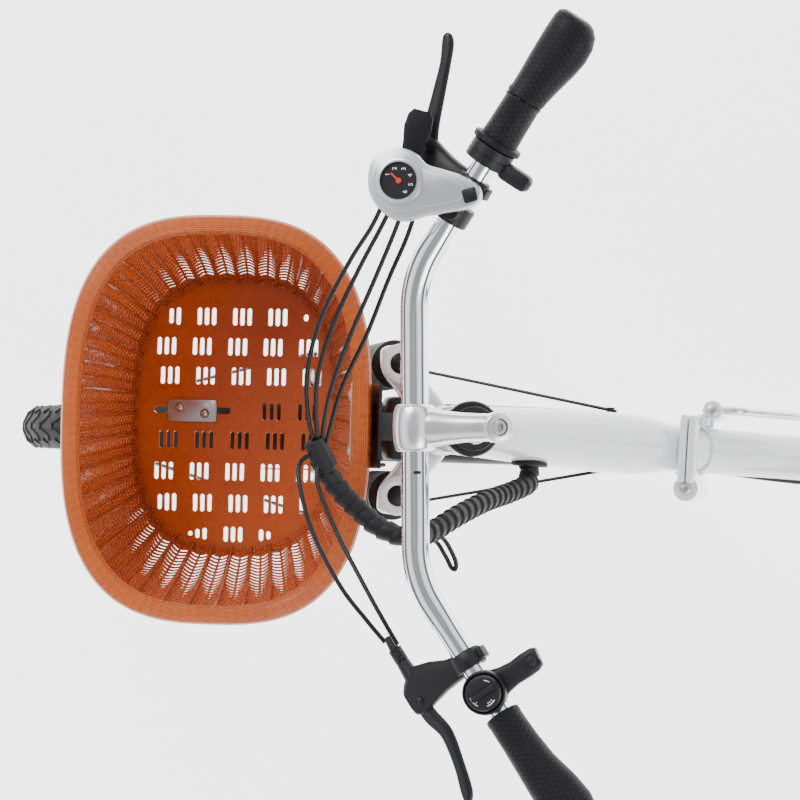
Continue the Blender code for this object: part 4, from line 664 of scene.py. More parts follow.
def bar_point(side, along):
    tangent = BAR_BEND * math.tan(BAR_SWEEP / 2)
    straight = BAR_CORNER - tangent
    arc = BAR_BEND * BAR_SWEEP
    x = STEM_TOP.x - BAR_FORWARD
    if along <= straight:
        return Vector((x, side * along, BAR_HEIGHT))
    turn = min(along - straight, arc) / BAR_BEND
    x += BAR_BEND * (1 - math.cos(turn))
    y = straight + BAR_BEND * math.sin(turn)
    rest = max(along - straight - arc, 0.0)
    x += rest * math.sin(BAR_SWEEP)
    y += rest * math.cos(BAR_SWEEP)
    return Vector((x, side * y, BAR_HEIGHT + max(along - straight, 0.0) * BAR_RISE))


def bar_direction(side, along):
    return (bar_point(side, along + 0.001) - bar_point(side, along - 0.001)).normalized()


def bar_frame(side, along):
    """The bar's direction, the direction level with it and away from the rider, and up."""
    direction = bar_direction(side, along)
    ahead = (Z.cross(direction) * side).normalized()
    return direction, ahead, direction.cross(ahead).normalized() * side


def build_bar_and_stem():
    bar = Shape()
    end = GRIP_START + GRIP_LENGTH - 0.006
    samples = [i * end / 90 for i in range(91)]
    path = [bar_point(-1, s) for s in reversed(samples[1:])] + [bar_point(1, s) for s in samples]
    radii = [0.0127 - 0.0016 * min(max((s - 0.160) / 0.030, 0), 1) for s in samples]
    bar.tube(path, list(reversed(radii[1:])) + radii, 32)
    bar.build("handlebar_tube", CHROME, "steered", COCKPIT, ("handlebar",))
    mark = Shape()
    ring = bar_point(-1, 0.040)
    mark.block(ring + Vector((0.0040, 0, 0.0124)), (0.0070, 0.0028, 0.0006), bevel=0.0002)
    mark.build("bar_centre_mark", PLASTIC, "steered", COCKPIT, ())

    stem = Shape()
    clamp = bar_point(1, 0)
    profile = mirrored((0.0131, 0.0212), (0.0152, 0.0212), (0.0168, 0.0204), (0.0181, 0.0180),
                       (0.0193, 0.0130), (0.0200, 0.0065), (0.0202, 0.0))
    stem.turned(profile, clamp, (0, 1, 0), 64)
    axis = (STEM_TOP - clamp).normalized()
    up = axis.cross(RIGHT) * -1
    rings = []
    for d, z, w, h in ((0.004, 0, 0.0178, 0.0160), (0.012, 0.0005, 0.0180, 0.0160),
                       (0.020, 0.001, 0.0172, 0.0148),
                       (0.030, 0.002, 0.0152, 0.0130), (0.045, 0.003, 0.0134, 0.0116),
                       (0.060, 0.004, 0.0126, 0.0108),
                       (0.072, 0.004, 0.0124, 0.0100), (0.078, 0.004, 0.0118, 0.0096)):
        rings.append(oval(clamp + axis * d + Z * z, RIGHT, up, w, h, 40, 2.3))
    stem.rings(rings)
    top = STEM_TOP + Z * 0.004
    head = [(0.0078, 0.0108), (0.0118, 0.0108), (0.0132, 0.0098), (0.0137, 0.0080), (0.0137, -0.0110),
            (0.0128, -0.0140), (0.0078, -0.0140)]
    stem.turned(head, top, UP_AXIS, 48)
    stem.turned([(0, 0.0020), (0.0080, 0.0020), (0.0080, -0.012), (0, -0.012)], top, UP_AXIS, 40)
    stem.rod(on_axis(0.120), top, 0.0110, sides=32)
    stem.build("quill_stem_body", ALLOY, "steered", COCKPIT, ("quill_stem",))
    bolt = Shape()
    bolt.turned([(0.0041, 0.0088), (0.0066, 0.0088), (0.0072, 0.0080), (0.0073, 0.0024), (0.0041, 0.0024)],
                top,
                UP_AXIS, 40)
    bolt.turned([(0, 0.0040), (0.0050, 0.0040), (0.0050, 0.0026), (0, 0.0026)], top, UP_AXIS, 6)
    bolt.build("stem_bolt_head", STEEL, "steered", COCKPIT, ("stem_bolt",))
    clampbolt = Shape()
    low = clamp + Vector((0.010, 0, -0.018))
    clampbolt.turned([(0.0025, 0.0045), (0.0045, 0.0045), (0.0050, 0.0038), (0.0050, -0.004),
                      (0.0025, -0.004)], low,
                     (0.3, 0, -1), 24)
    clampbolt.build("clamp_bolt", STEEL, "steered", COCKPIT, ())


def sleeve(shape, side, start, stations, bore=0.0114, slot=0, count=48):
    """A moulded sleeve on the bar from (distance, ahead half, behind half, vertical half) stations."""
    outer, inner = [], []
    for s, front, back, tall in stations:
        _, ahead, up = bar_frame(side, start + s)
        centre = bar_point(side, start + s) + ahead * (front - back) / 2
        half = (front + back) / 2
        outer.append(oval(centre, ahead, up, half, tall, count, 2.15))
        inner.append(oval(bar_point(side, start + s), ahead, up, bore, bore, count))
    shape.rings(outer + inner[::-1], slot, loop=True)


def build_grips():
    right = Shape()
    sleeve(right, 1, GRIP_START + 0.0485, [
        (0.000, 0.0168, 0.0168, 0.0160), (0.0006, 0.0178, 0.0178, 0.0170), (0.004, 0.0182, 0.0184, 0.0172),
        (0.006, 0.0170, 0.0185, 0.0164), (0.020, 0.0172, 0.0215, 0.0165), (0.040, 0.0178, 0.0265, 0.0168),
        (0.055, 0.0180, 0.0290, 0.0172), (0.068, 0.0180, 0.0285, 0.0175), (0.078, 0.0175, 0.0250, 0.0172),
        (0.0835, 0.0160, 0.0200, 0.0155), (0.0862, 0.0120, 0.0150, 0.0120)], 0.0114)
    right.rod(bar_point(1, GRIP_START + GRIP_LENGTH - 0.004),
              bar_point(1, GRIP_START + GRIP_LENGTH - 0.0005), 0.0116)
    right.build("right_grip_rubber", GRIP, "steered", COCKPIT, ("right_grip",))
    twist = Shape()
    sleeve(twist, 1, GRIP_START, [
        (0.000, 0.0222, 0.0222, 0.0222), (0.0008, 0.0232, 0.0232, 0.0232), (0.0045, 0.0232, 0.0232, 0.0232),
        (0.0055, 0.0225, 0.0225, 0.0225), (0.0062, 0.0178, 0.0178, 0.0178), (0.020, 0.0172, 0.0172, 0.0170),
        (0.044, 0.0168, 0.0168, 0.0166), (0.046, 0.0178, 0.0178, 0.0176), (0.0478, 0.0172, 0.0172, 0.0172)],
           0.0114)
    twist.build("throttle_twist_sleeve", GRIP, "throttle", COCKPIT, ("throttle_sleeve",))
    left = Shape()
    sleeve(left, -1, GRIP_START + 0.0045, [
        (0.000, 0.0150, 0.0150, 0.0150), (0.0008, 0.0163, 0.0163, 0.0163), (0.005, 0.0166, 0.0166, 0.0164),
        (0.007, 0.0162, 0.0162, 0.0160), (0.030, 0.0162, 0.0172, 0.0160), (0.055, 0.0170, 0.0200, 0.0164),
        (0.080, 0.0178, 0.0262, 0.0168), (0.100, 0.0180, 0.0290, 0.0172), (0.115, 0.0178, 0.0270, 0.0174),
        (0.126, 0.0162, 0.0210, 0.0158), (0.1303, 0.0120, 0.0150, 0.0120)], 0.0114)
    left.rod(bar_point(-1, GRIP_START + GRIP_LENGTH - 0.004),
             bar_point(-1, GRIP_START + GRIP_LENGTH - 0.0005), 0.0116)
    left.build("left_grip_rubber", GRIP, "steered", COCKPIT, ("left_grip",))
    rings = Shape()
    sleeve(rings, 1, GRIP_START - 0.0185, [
        (0.0000, 0.0190, 0.0190, 0.0190), (0.0010, 0.0202, 0.0202, 0.0200), (0.0080, 0.0206, 0.0206, 0.0202),
        (0.0082, 0.0196, 0.0196, 0.0194), (0.0095, 0.0196, 0.0196, 0.0194), (0.0097, 0.0206, 0.0206, 0.0202),
        (0.0170, 0.0202, 0.0202, 0.0200), (0.0178, 0.0190, 0.0190, 0.0190)], 0.0114)
    direction, ahead, up = bar_frame(1, GRIP_START - 0.010)
    at = bar_point(1, GRIP_START - 0.010)
    turn = Matrix((direction, ahead, up)).transposed().to_quaternion()
    rings.block(at - ahead * 0.030 - direction * 0.004, (0.016, 0.030, 0.016), turn, 0.003, power=5)
    rings.block(at - ahead * 0.041 - direction * 0.004, (0.010, 0.010, 0.011), turn, 0.002, power=5)
    rings.build("throttle_ring", PLASTIC, "steered", COCKPIT, ("throttle_housing",))


# ---------------------------------------------------------------- brake levers
RIGHT_BLADE = ((-0.002, -0.001, 0.0070), (0.018, 0.011, 0.0075), (0.046, 0.022, 0.0065),
               (0.072, 0.032, 0.0055), (0.088, 0.040, 0.0060), (0.095, 0.045, 0.0045))
LEFT_BLADE = ((-0.002, 0.002, 0.0070), (0.016, 0.001, 0.0075), (0.037, -0.003, 0.0065),
              (0.066, 0.003, 0.0055), (0.088, 0.010, 0.0060), (0.097, 0.014, 0.0045))


def build_lever(side, clamp_at, reach, blade_path):
    word = "right" if side > 0 else "left"
    centre = bar_point(side, clamp_at)
    along = bar_direction(side, clamp_at)
    ahead = (Z.cross(along) * side).normalized()
    ahead = (ahead * 0.97 - Vector((0, 0, 0.22))).normalized()
    up = along.cross(ahead).normalized() * side
    body = Shape()
    body.turned(mirrored((0.0114, 0.0078), (0.0146, 0.0078), (0.0154, 0.0068)), centre, along, 48)
    rings = []
    for d, shift, w, h in ((0.008, 0, 0.0105, 0.0095), (0.018, -0.001, 0.0120, 0.0092),
                           (reach * 0.55, -0.004, 0.0160, 0.0090),
                           (reach * 0.80, -0.005, 0.0195, 0.0086), (reach * 0.95, -0.003, 0.0195, 0.0082),
                           (reach + 0.006, 0.001, 0.0165, 0.0078), (reach + 0.0105, 0.002, 0.0120, 0.0066)):
        rings.append(oval(centre + ahead * d + along * shift, along, up, w, h, 40, 3.0))
    body.rings(rings)
    inboard = centre + ahead * (reach - 0.004)
    body.rod(inboard - along * 0.034, inboard - along * 0.008, 0.0062, 0.0082, 24)
    for k in range(6):
        body.rod(inboard - along * (0.036 + 0.0022 * k), inboard - along * (0.0345 + 0.0022 * k), 0.0066,
                 sides=18,
                 bevel=0.0003)
    body.rod(inboard - along * 0.060, inboard - along * 0.046, 0.0036, 0.0050, 18)
    low = centre - ahead * 0.016
    body.block(low, (0.0110, 0.0065, 0.0130), Matrix((along, ahead, up)).transposed().to_quaternion(), 0.0015)
    hinge = centre + ahead * reach + along * 0.006
    body.turned([(0, 0.0092), (0.0030, 0.0090), (0.0042, 0.0080), (0.0042, -0.0080), (0, -0.0080)], hinge,
                up, 24, 1)
    body.turned([(0.0030, 0.0020), (0.0046, 0.0018), (0.0046, 0.0), (0.0030, 0.0)], hinge + up * 0.0072, up,
                24, 1)
    body.build(word + "_lever_housing", [PLASTIC, BLACK_METAL], "steered", COCKPIT, (word + "_lever_body",))
    blade = Shape()
    path = curve_through([hinge + along * a + ahead * b for a, b, _ in blade_path], 8)
    widths = curve_through([Vector((w, 0, 0)) for _, _, w in blade_path], 8)
    rings = []
    for i, point in enumerate(path):
        tangent = (path[min(i + 1, len(path) - 1)] - path[max(i - 1, 0)]).normalized()
        across = up.cross(tangent).normalized()
        rings.append(oval(point, across, up, widths[i].x, 0.0030, 20, 2.4))
    tip = path[-1] + (path[-1] - path[-2]).normalized() * 0.002
    rings.append(oval(tip, across, up, 0.0020, 0.0018, 20))
    blade.rings(rings)
    blade.turned(mirrored((0, 0.0030), (0.0078, 0.0030), (0.0085, 0.0022)),
                 hinge, up, 32)
    blade.build(word + "_blade", BLACK_METAL, "brake_" + word, COCKPIT, (word + "_brake_lever",))


# ---------------------------------------------------------------- shifter and switches
DIAL = Vector((STEM_TOP.x - 0.080, 0.219, 1.1225))


def dial_number(number, place):
    data = bpy.data.curves.new("gear_number_" + str(number), "FONT")
    data.body = str(number)
    data.size = 0.0056
    data.extrude = 0.00015
    data.align_x = "CENTER"
    data.align_y = "CENTER"
    ride_flat("gear_number_" + str(number), data,
              COCKPIT @ Matrix.Translation(place) @ Matrix.Rotation(math.radians(90), 4, "Z"), PRINT,
              "steered")


def build_shifter():
    body = Shape()
    outline = [(-0.1090, 0.2200), (-0.1060, 0.2360), (-0.0960, 0.2460), (-0.0800, 0.2490), (-0.0660, 0.2440),
               (-0.0560, 0.2340), (-0.0420, 0.2290), (-0.0240, 0.2230), (-0.0110, 0.2150), (-0.0070, 0.2070),
               (-0.0100, 0.1980), (-0.0220, 0.1930), (-0.0400, 0.1900), (-0.0560, 0.1880), (-0.0720, 0.1840),
               (-0.0860, 0.1850), (-0.0990, 0.1950), (-0.1070, 0.2080)]
    outline = smooth_outline([(STEM_TOP.x + x, y) for x, y in outline], 5)
    body.prism(outline, 1.1022, 1.1180, 0.0026)
    inner = [(DIAL.x + 0.0005 + (x - DIAL.x) * 0.80, DIAL.y + (y - DIAL.y) * 0.80) for x, y in outline]
    body.prism(inner, 1.1172, 1.1192, 0.0010)
    body.turned([(0.0182, 0.0010), (0.0205, 0.0004), (0.0215, -0.0020), (0.0215, -0.0060), (0.0170, -0.0060),
                 (0.0170, 0.0002)], DIAL, Z, 64, 0)
    body.turned([(0, -0.0022), (0.0176, -0.0022), (0.0176, -0.0062), (0, -0.0062)], DIAL, Z, 48, 1)
    at = bar_point(1, 0.203)
    along = bar_direction(1, 0.203)
    body.turned(mirrored((0.0114, 0.0090), (0.0155, 0.0090), (0.0165, 0.0080)), at, along, 40, 1)
    body.rod(at + Z * 0.010, at + Z * 0.026, 0.0085, slot=1)
    body.block(Vector((STEM_TOP.x - 0.0165, 0.2050, 1.1188)), (0.0125, 0.0125, 0.0030), Quaternion(Z, 0.25),
               0.001, 1)
    body.build("shifter_shell", [SILVER, PLASTIC], "steered", COCKPIT, ("shifter_body",))
    for number in range(1, 7):
        angle = math.radians(150 - 42 * (number - 1))
        place = DIAL + Vector((0.0115 * math.cos(angle), 0.0115 * math.sin(angle), -0.0021))
        dial_number(number, place)
    pointer = Shape()
    turn = Quaternion(Z, math.radians(135))
    pointer.block(DIAL + turn @ Vector((0.0042, 0, 0)) + Z * -0.0008, (0.0110, 0.0018, 0.0010), turn, 0.0004)
    pointer.turned([(0, 0.0006), (0.0024, 0.0004), (0.0028, -0.0008), (0, -0.0008)], DIAL + Z * -0.0008, Z,
                   24)
    pointer.build("pointer_needle", RED, "pointer", COCKPIT, ("gear_pointer",))
    glass = Shape()
    glass.turned([(0.0166, 0.0004), (0.0184, 0.0006), (0.0184, -0.0003), (0.0166, -0.0003)], DIAL, Z, 64)
    glass.build("dial_bezel", CHROME, "steered", COCKPIT, ())
    paddle = Shape()
    centre = DIAL - Z * 0.0235
    rings = []
    for t, w, h in ((-0.05, 0.010, 0.0018), (0.0, 0.0110, 0.0026), (0.35, 0.0085, 0.0026),
                    (0.55, 0.0100, 0.0030),
                    (0.75, 0.0128, 0.0034), (0.92, 0.0118, 0.0034), (1.0, 0.0080, 0.0024)):
        rings.append(oval(centre + Vector((0.018 * t, 0.064 * t, 0)), Vector((0.96, -0.27, 0)), Z, w, h, 28,
                          2.8))
    paddle.rings(rings)
    paddle.turned(mirrored((0, 0.0026), (0.0140, 0.0026), (0.0150, 0.0018)),
                  centre, Z, 40)
    paddle.build("thumb_paddle", FINE_GRIP, "thumb_lever", COCKPIT, ("shift_thumb_lever",))


def build_switches():
    at = bar_point(-1, 0.254)
    along = bar_direction(-1, 0.254)
    body = Shape()
    body.turned(mirrored((0.0114, 0.0085), (0.0172, 0.0085), (0.0185, 0.0072)), at, along, 48)
    body.turned([(0, 0.0190), (0.0172, 0.0190), (0.0172, 0.0222), (0.0182, 0.0228), (0.0194, 0.0220),
                 (0.0200, 0.0180), (0.0196, 0.004), (0, 0.004)], at, Z, 64)
    horn = Vector((STEM_TOP.x + 0.034, -0.207, at.z + 0.010))
    rings = []
    for t, w, h in ((0.10, 0.0165, 0.0085), (0.40, 0.0120, 0.0086), (0.62, 0.0106, 0.0088),
                    (0.85, 0.0112, 0.0088), (1.05, 0.0108, 0.0084), (1.15, 0.0085, 0.0066)):
        rings.append(oval(at + (horn - at) * t + Z * 0.004 * (1 - t), Vector((-0.42, 0.91, 0)), Z, w, h, 36,
                          4.0))
    body.rings(rings)
    body.block(horn + Z * 0.0084, (0.0150, 0.0150, 0.0016), Quaternion(Z, 0.64), 0.0006)
    body.build("switch_shell", PLASTIC, "steered", COCKPIT, ("switch_housing",))
    knob = Shape()
    knob.turned([(0, 0.0082), (0.0135, 0.0082), (0.0152, 0.0076), (0.0160, 0.0060), (0.0166, 0.0), (0, 0.0)],
                at + Z * 0.0193, Z, 64,
                wobble=lambda a, r: 1 + (0.012 * math.cos(24 * a) if r > 0.015 else 0))
    knob.block(at + Z * 0.0286, (0.0235, 0.0046, 0.0046), Quaternion(Z, 0.6), 0.0010)
    knob.build("light_knob_cap", PLASTIC, "light_knob", COCKPIT, ("light_switch_knob",))
    arcs = Shape()
    for start, stop, radius in ((200, 250, 0.0118), (290, 335, 0.0118), (60, 85, 0.0118)):
        path = [at + Vector((radius * math.cos(math.radians(a)), radius * math.sin(math.radians(a)), 0.0276))
                for a in range(start, stop, 4)]
        arcs.tube(path, 0.00045, 6)
    for angle in (215, 225, 235, 300, 312, 324):
        a = math.radians(angle)
        point = at + Vector((0.0090 * math.cos(a), 0.0090 * math.sin(a), 0.0276))
        arcs.rod(point, point + Vector((math.cos(a), math.sin(a), 0)) * 0.0016, 0.00035, sides=6,
                 bevel=0.0001)
    arcs.build("light_icons", PRINT, "light_knob", COCKPIT, ())
    button = Shape()
    top = horn + Z * 0.0085
    button.turned([(0, 0.0040), (0.0030, 0.0039), (0.0044, 0.0032), (0.0050, 0.0020), (0.0050, -0.0015),
                   (0, -0.0015)],
                  top, Z, 32)
    button.build("horn_cap", RUBBER, "horn", COCKPIT, ("horn_button",))


# ---------------------------------------------------------------- harness and cables
def unturned(place, degrees=4.0):
    return turned_about_steering(-degrees) @ Vector(place)


def build_harness():
    outlet = Vector((-0.2405, -0.0285, 0.8134))
    trunk = [unturned(outlet + RIGHT * 0.010), unturned(outlet - RIGHT * 0.0100),
             unturned(outlet - RIGHT * 0.0160),
             (-0.244, -0.0540, 0.832), (-0.256, -0.061, 0.866), (-0.270, -0.068, 0.915),
             (-0.289, -0.081, 0.967), (-0.304, -0.093, 1.002), (-0.317, -0.099, 1.030),
             (-0.332, -0.097, 1.040),
             (-0.351, -0.089, 1.037), (-0.368, -0.075, 1.033), (-0.384, -0.059, 1.034),
             (-0.397, -0.041, 1.037), (-0.405, -0.024, 1.041)]
    path = curve_through(trunk, 10)
    shape = Shape()
    lengths = [0.0]
    for a, b in zip(path, path[1:]):
        lengths.append(lengths[-1] + (b - a).length)
    frames = frames_along(path)
    count = int(lengths[-1] / 0.0010)
    rings, k = [], 0
    for i in range(count):
        want = lengths[-1] * i / (count - 1)
        while k < len(path) - 2 and lengths[k + 1] < want:
            k += 1
        t = (want - lengths[k]) / (lengths[k + 1] - lengths[k])
        point, across, up = (frames[k][j].lerp(frames[k + 1][j], t) for j in range(3))
        ring = []
        for j in range(28):
            turn = j / 28
            strip = (want / 0.0125 + turn) % 1.0
            reach = 0.0080 + 0.0024 * min(strip / 0.85, 1.0, (1.0 - strip) / 0.10) ** 0.6
            angle = math.tau * turn
            out = across.normalized() * math.cos(angle) + up.normalized() * math.sin(angle)
            ring.append(point + out * reach)
        rings.append(ring)
    shape.rings(rings)
    shape.rod((-0.4085, -0.010, 1.0455), (-0.3980, -0.036, 1.0375), 0.0098, 0.0112, 24)
    cables = [
        [(-0.405, -0.021, 1.042), (-0.411, 0.008, 1.055), (-0.409, 0.053, 1.069), (-0.393, 0.103, 1.078),
         (-0.366, 0.150, 1.087), (-0.345, 0.181, 1.090), (-0.332, 0.206, 1.092)],
        [(-0.403, -0.021, 1.042), (-0.404, 0.008, 1.055), (-0.399, 0.049, 1.069), (-0.383, 0.094, 1.078),
         (-0.358, 0.142, 1.087), (-0.338, 0.178, 1.088), (-0.326, 0.200, 1.090)],
        [(-0.401, -0.021, 1.042), (-0.398, 0.004, 1.050), (-0.388, 0.040, 1.059), (-0.369, 0.085, 1.068),
         (-0.345, 0.134, 1.077), (-0.327, 0.172, 1.084), (-0.316, 0.197, 1.089)],
        [(-0.399, -0.021, 1.042), (-0.392, 0.004, 1.046), (-0.380, 0.040, 1.050), (-0.357, 0.085, 1.054),
         (-0.335, 0.134, 1.064), (-0.317, 0.170, 1.072), (-0.306, 0.194, 1.084)],
        [(-0.405, -0.023, 1.043), (-0.418, -0.028, 1.051), (-0.419, -0.046, 1.061), (-0.405, -0.092, 1.072),
         (-0.377, -0.141, 1.084), (-0.352, -0.172, 1.088), (-0.335, -0.192, 1.088)],
        [(-0.401, -0.025, 1.043), (-0.404, -0.048, 1.051), (-0.385, -0.092, 1.062), (-0.356, -0.141, 1.078),
         (-0.337, -0.172, 1.086), (-0.324, -0.194, 1.086)],
        [(-0.322, -0.096, 1.028), (-0.305, -0.103, 1.000), (-0.297, -0.117, 0.988), (-0.2915, -0.1285, 0.985),
         (-0.2875, -0.1290, 0.985), (-0.2880, -0.1200, 0.988), (-0.296, -0.102, 1.000),
         (-0.308, -0.092, 1.020)],
    ]
    for route in cables:
        shape.tube(curve_through(route, 10), 0.0022, 10, 1)
    obj = shape.build("cable_harness", [RUBBER, CABLE], None, COCKPIT, ("wiring_harness",))
    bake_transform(obj)


# ---------------------------------------------------------------- front frame, fork, fender
def build_front_frame():
    top = on_axis(0.098)
    bottom = Vector((HINGE.x - 0.003, 0, 0.618))
    along = (bottom - top).normalized()
    deep = along.cross(RIGHT).normalized()
    length = (bottom - top).length
    shape = Shape()
    stations = ((-0.02, 0.0215, 0.0290), (0.0, 0.0235, 0.0340), (0.08, 0.0245, 0.0380),
                (0.20, 0.0262, 0.0398),
                (0.40, 0.0288, 0.0400), (0.60, 0.0305, 0.0400), (0.75, 0.0298, 0.0396),
                (0.86, 0.0255, 0.0365), (1.0, 0.0238, 0.0340))
    widths = curve_through([Vector(s) for s in stations], 5)
    shape.rings([oval(top + along * length * s.x, RIGHT, deep, s.y, s.z, 48, 2.25) for s in widths])
    shape.turned([(0.0154, 0.020), (0.0245, 0.020), (0.0245, 0.031), (0.0228, 0.034), (0.0212, 0.040),
                  (0.0212, 0.150),
                  (0.0228, 0.156), (0.0246, 0.159), (0.0246, 0.170), (0.0154, 0.170)], CROWN, UP_AXIS, 64)
    shape.block((HINGE.x - 0.0043, -0.001, HINGE.z), (0.0074, 0.068, 0.150), None, 0.0018, power=7)
    shape.rod(HINGE - Z * 0.0248, HINGE + Z * 0.0248, 0.0125, sides=32)
    weld = oval(bottom - along * 0.004, RIGHT, deep, 0.0252, 0.0348, 48, 2.25)
    shape.tube(weld, 0.0020, 8, closed=True)
    seam = oval(on_axis(0.098, -0.021), RIGHT, UP_AXIS, 0.0232, 0.0355, 48, 2.2)
    shape.tube(seam, 0.0022, 8, closed=True)
    shape.build("front_frame_tube", WHITE, "front_frame", FIXED, ("front_frame",))
    centre = Vector((-0.2405, -0.0285, 0.8134))
    lip = Shape()
    rings = []
    for y, a, b in ((0.010, 0.0190, 0.0100), (0.0030, 0.0195, 0.0110), (0.0022, 0.0210, 0.0132),
                    (0.0004, 0.0216, 0.0138), (-0.0010, 0.0206, 0.0126), (-0.0016, 0.0180, 0.0110),
                    (-0.0014, 0.0105, 0.0096), (0.010, 0.0098, 0.0092)):
        rings.append(oval(centre + RIGHT * y, along, deep, a, b, 40))
    lip.rings(rings, loop=True)
    lip.build("grommet_lip", RUBBER, "front_frame", FIXED, ("cable_grommet",))
    cup = Shape()
    cup.turned([(0.0151, 0.0003), (0.0230, 0.0003), (0.0250, 0.0022), (0.0262, 0.0040), (0.0262, 0.0062),
                (0.0256, 0.0066), (0.0262, 0.0070), (0.0262, 0.0120), (0.0250, 0.0134), (0.0151, 0.0134)],
               on_axis(0.170), UP_AXIS, 64)
    cup.turned([(0.0151, -0.0004), (0.0240, -0.0004), (0.0240, -0.0070), (0.0151, -0.0070)], on_axis(0.0195),
               UP_AXIS, 64)
    cup.build("headset_cups", BLACK_METAL, "front_frame", FIXED, ("headset_upper_cup",))


def build_fork():
    half = 0.065
    shape = Shape()
    stations = ((-half - 0.0185, 0.040, 0.0060, 0.0080), (-half - 0.0165, 0.040, 0.0140, 0.0115),
                (-half - 0.010, 0.040, 0.0180, 0.0130), (-half + 0.010, 0.036, 0.0190, 0.0130),
                (-0.030, 0.016, 0.0205, 0.0130), (0, 0.006, 0.0260, 0.0132), (0.030, 0.016, 0.0205, 0.0130),
                (half - 0.010, 0.036, 0.0190, 0.0130), (half + 0.010, 0.040, 0.0180, 0.0130),
                (half + 0.0165, 0.040, 0.0140, 0.0115), (half + 0.0185, 0.040, 0.0060, 0.0080))
    path = curve_through([Vector((a, b, c)) for a, b, c, _ in stations], 4)
    heights = curve_through([Vector((d, 0, 0)) for _, _, _, d in stations], 4)
    shape.rings([oval(on_axis(-0.004, p.y, p.x), UP_AXIS, AHEAD, h.x, p.z, 32, 3.0) for p,
                 h in zip(path, heights)])
    for side in (-half, half):
        shape.turned([(0, 0.0135), (0.0075, 0.0130), (0.0102, 0.0112), (0.0108, 0.0085), (0, 0.0085)],
                     on_axis(0.0, 0.040, side), UP_AXIS, 40, 1)
        shape.rod(on_axis(-0.245, 0.040, side), on_axis(-0.010, 0.040, side), 0.0140, slot=2, sides=32)
    shape.rod(on_axis(-0.010), on_axis(0.196), 0.0143, slot=2, sides=32)
    shape.turned([(0.0146, 0.0), (0.0200, 0.0), (0.0210, 0.0010), (0.0210, 0.0055), (0.0200, 0.0065),
                  (0.0146, 0.0065)],
                 on_axis(0.1885), UP_AXIS, 48, 1)
    for side in (-half, half):
        shape.turned([(0.0104, 0.0085), (0.0180, 0.0085), (0.0196, 0.0098), (0.0196, 0.0112),
                      (0.0180, 0.0122),
                      (0.0120, 0.0122), (0.0104, 0.0112)], on_axis(0.0, 0.040, side), UP_AXIS, 48, 3)
    shape.build("fork_crown_body", [WHITE, PLASTIC, CHROME, WHITE], "steered", STEER, ("fork_crown",))
    boots = Shape()
    for side in (-half, half):
        profile = []
        for k in range(9):
            low = -0.018 - k * 0.0120
            profile += [(0.0195, low), (0.0240, low - 0.003), (0.0245, low - 0.0060), (0.0240, low - 0.0090)]
        profile = [(0.0143, -0.0175)] + profile + [(0.0200, -0.128), (0.0143, -0.128)]
        boots.turned(profile, on_axis(0, 0.040, side), UP_AXIS, 48)
    gaiters = boots.build("fork_boots", RUBBER, None, STEER, ())
    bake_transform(gaiters)
    lower = Shape()
    for side in (-half, half):
        lower.turned([(0.0144, -0.1285), (0.0200, -0.1285), (0.0212, -0.1305), (0.0212, -0.1400),
                      (0.0196, -0.1430),
                      (0.0194, -0.480), (0.0180, -0.495), (0.0120, -0.500), (0.0144, -0.480)],
                     on_axis(0, 0.040, side), UP_AXIS, 48)
    arch = curve_through([on_axis(-0.165, 0.048, -half), on_axis(-0.140, 0.056, -half + 0.006),
                          on_axis(-0.120, 0.060, -0.030), on_axis(-0.116, 0.061, 0),
                          on_axis(-0.120, 0.060, 0.030),
                          on_axis(-0.140, 0.056, half - 0.006), on_axis(-0.165, 0.048, half)], 6)
    lower.tube(arch, 0.0085, 20)
    for side in (-1, 1):
        lower.rod(FRONT_AXLE + RIGHT * side * 0.0525, FRONT_AXLE + RIGHT * side * 0.0800, 0.0150, sides=32)
    lower.build("fork_lower_legs", BLACK_METAL, "fork_slider", STEER, ("fork_lowers",))
    caliper = Shape()
    turn = Z.rotation_difference(UP_AXIS)
    caliper.block(on_axis(-0.416, -0.006, -0.0485), (0.020, 0.0120, 0.050), turn, 0.004, power=5)
    caliper.block(on_axis(-0.416, -0.006, -0.0335), (0.018, 0.0050, 0.044), turn, 0.002, power=5)
    for along in (-0.432, -0.400):
        caliper.turned([(0, 0.0030), (0.0040, 0.0028), (0.0046, 0.0), (0, 0.0)],
                       on_axis(along, -0.006, -0.0545),
                       -RIGHT, 20, 1)
    caliper.build("front_caliper_body", [BLACK_METAL, STEEL], "fork_slider", STEER, ("front_brake_caliper",))
    lamp = Shape()
    at = on_axis(0.012, 0.053) + Vector((-0.018, 0, 0.014))
    lamp.turned([(0, 0.036), (0.006, 0.0355), (0.012, 0.032), (0.019, 0.025), (0.0240, 0.014),
                 (0.0262, 0.004), (0.0262, 0.0), (0.0245, -0.0008), (0, -0.0008)], at, (1, 0, 0), 48)
    lamp.turned([(0, -0.0026), (0.0140, -0.0020), (0.0225, -0.0008), (0.0225, 0.0010), (0, 0.0010)], at,
                (1, 0, 0), 48, 1)
    lamp.build("headlight_shell", [PLASTIC, LENS], "steered", STEER, ("headlight",))
    box = Shape()
    box.block(on_axis(0.060, 0.050, 0.0), (0.026, 0.062, 0.040), turn, 0.004, power=6)
    box.rod(on_axis(0.060, 0.020, 0.0), on_axis(0.060, 0.040, 0.0), 0.009)
    box.build("front_control_box", PLASTIC, "steered", STEER, ())
    repaint("basket_bracket", BLACK_METAL)


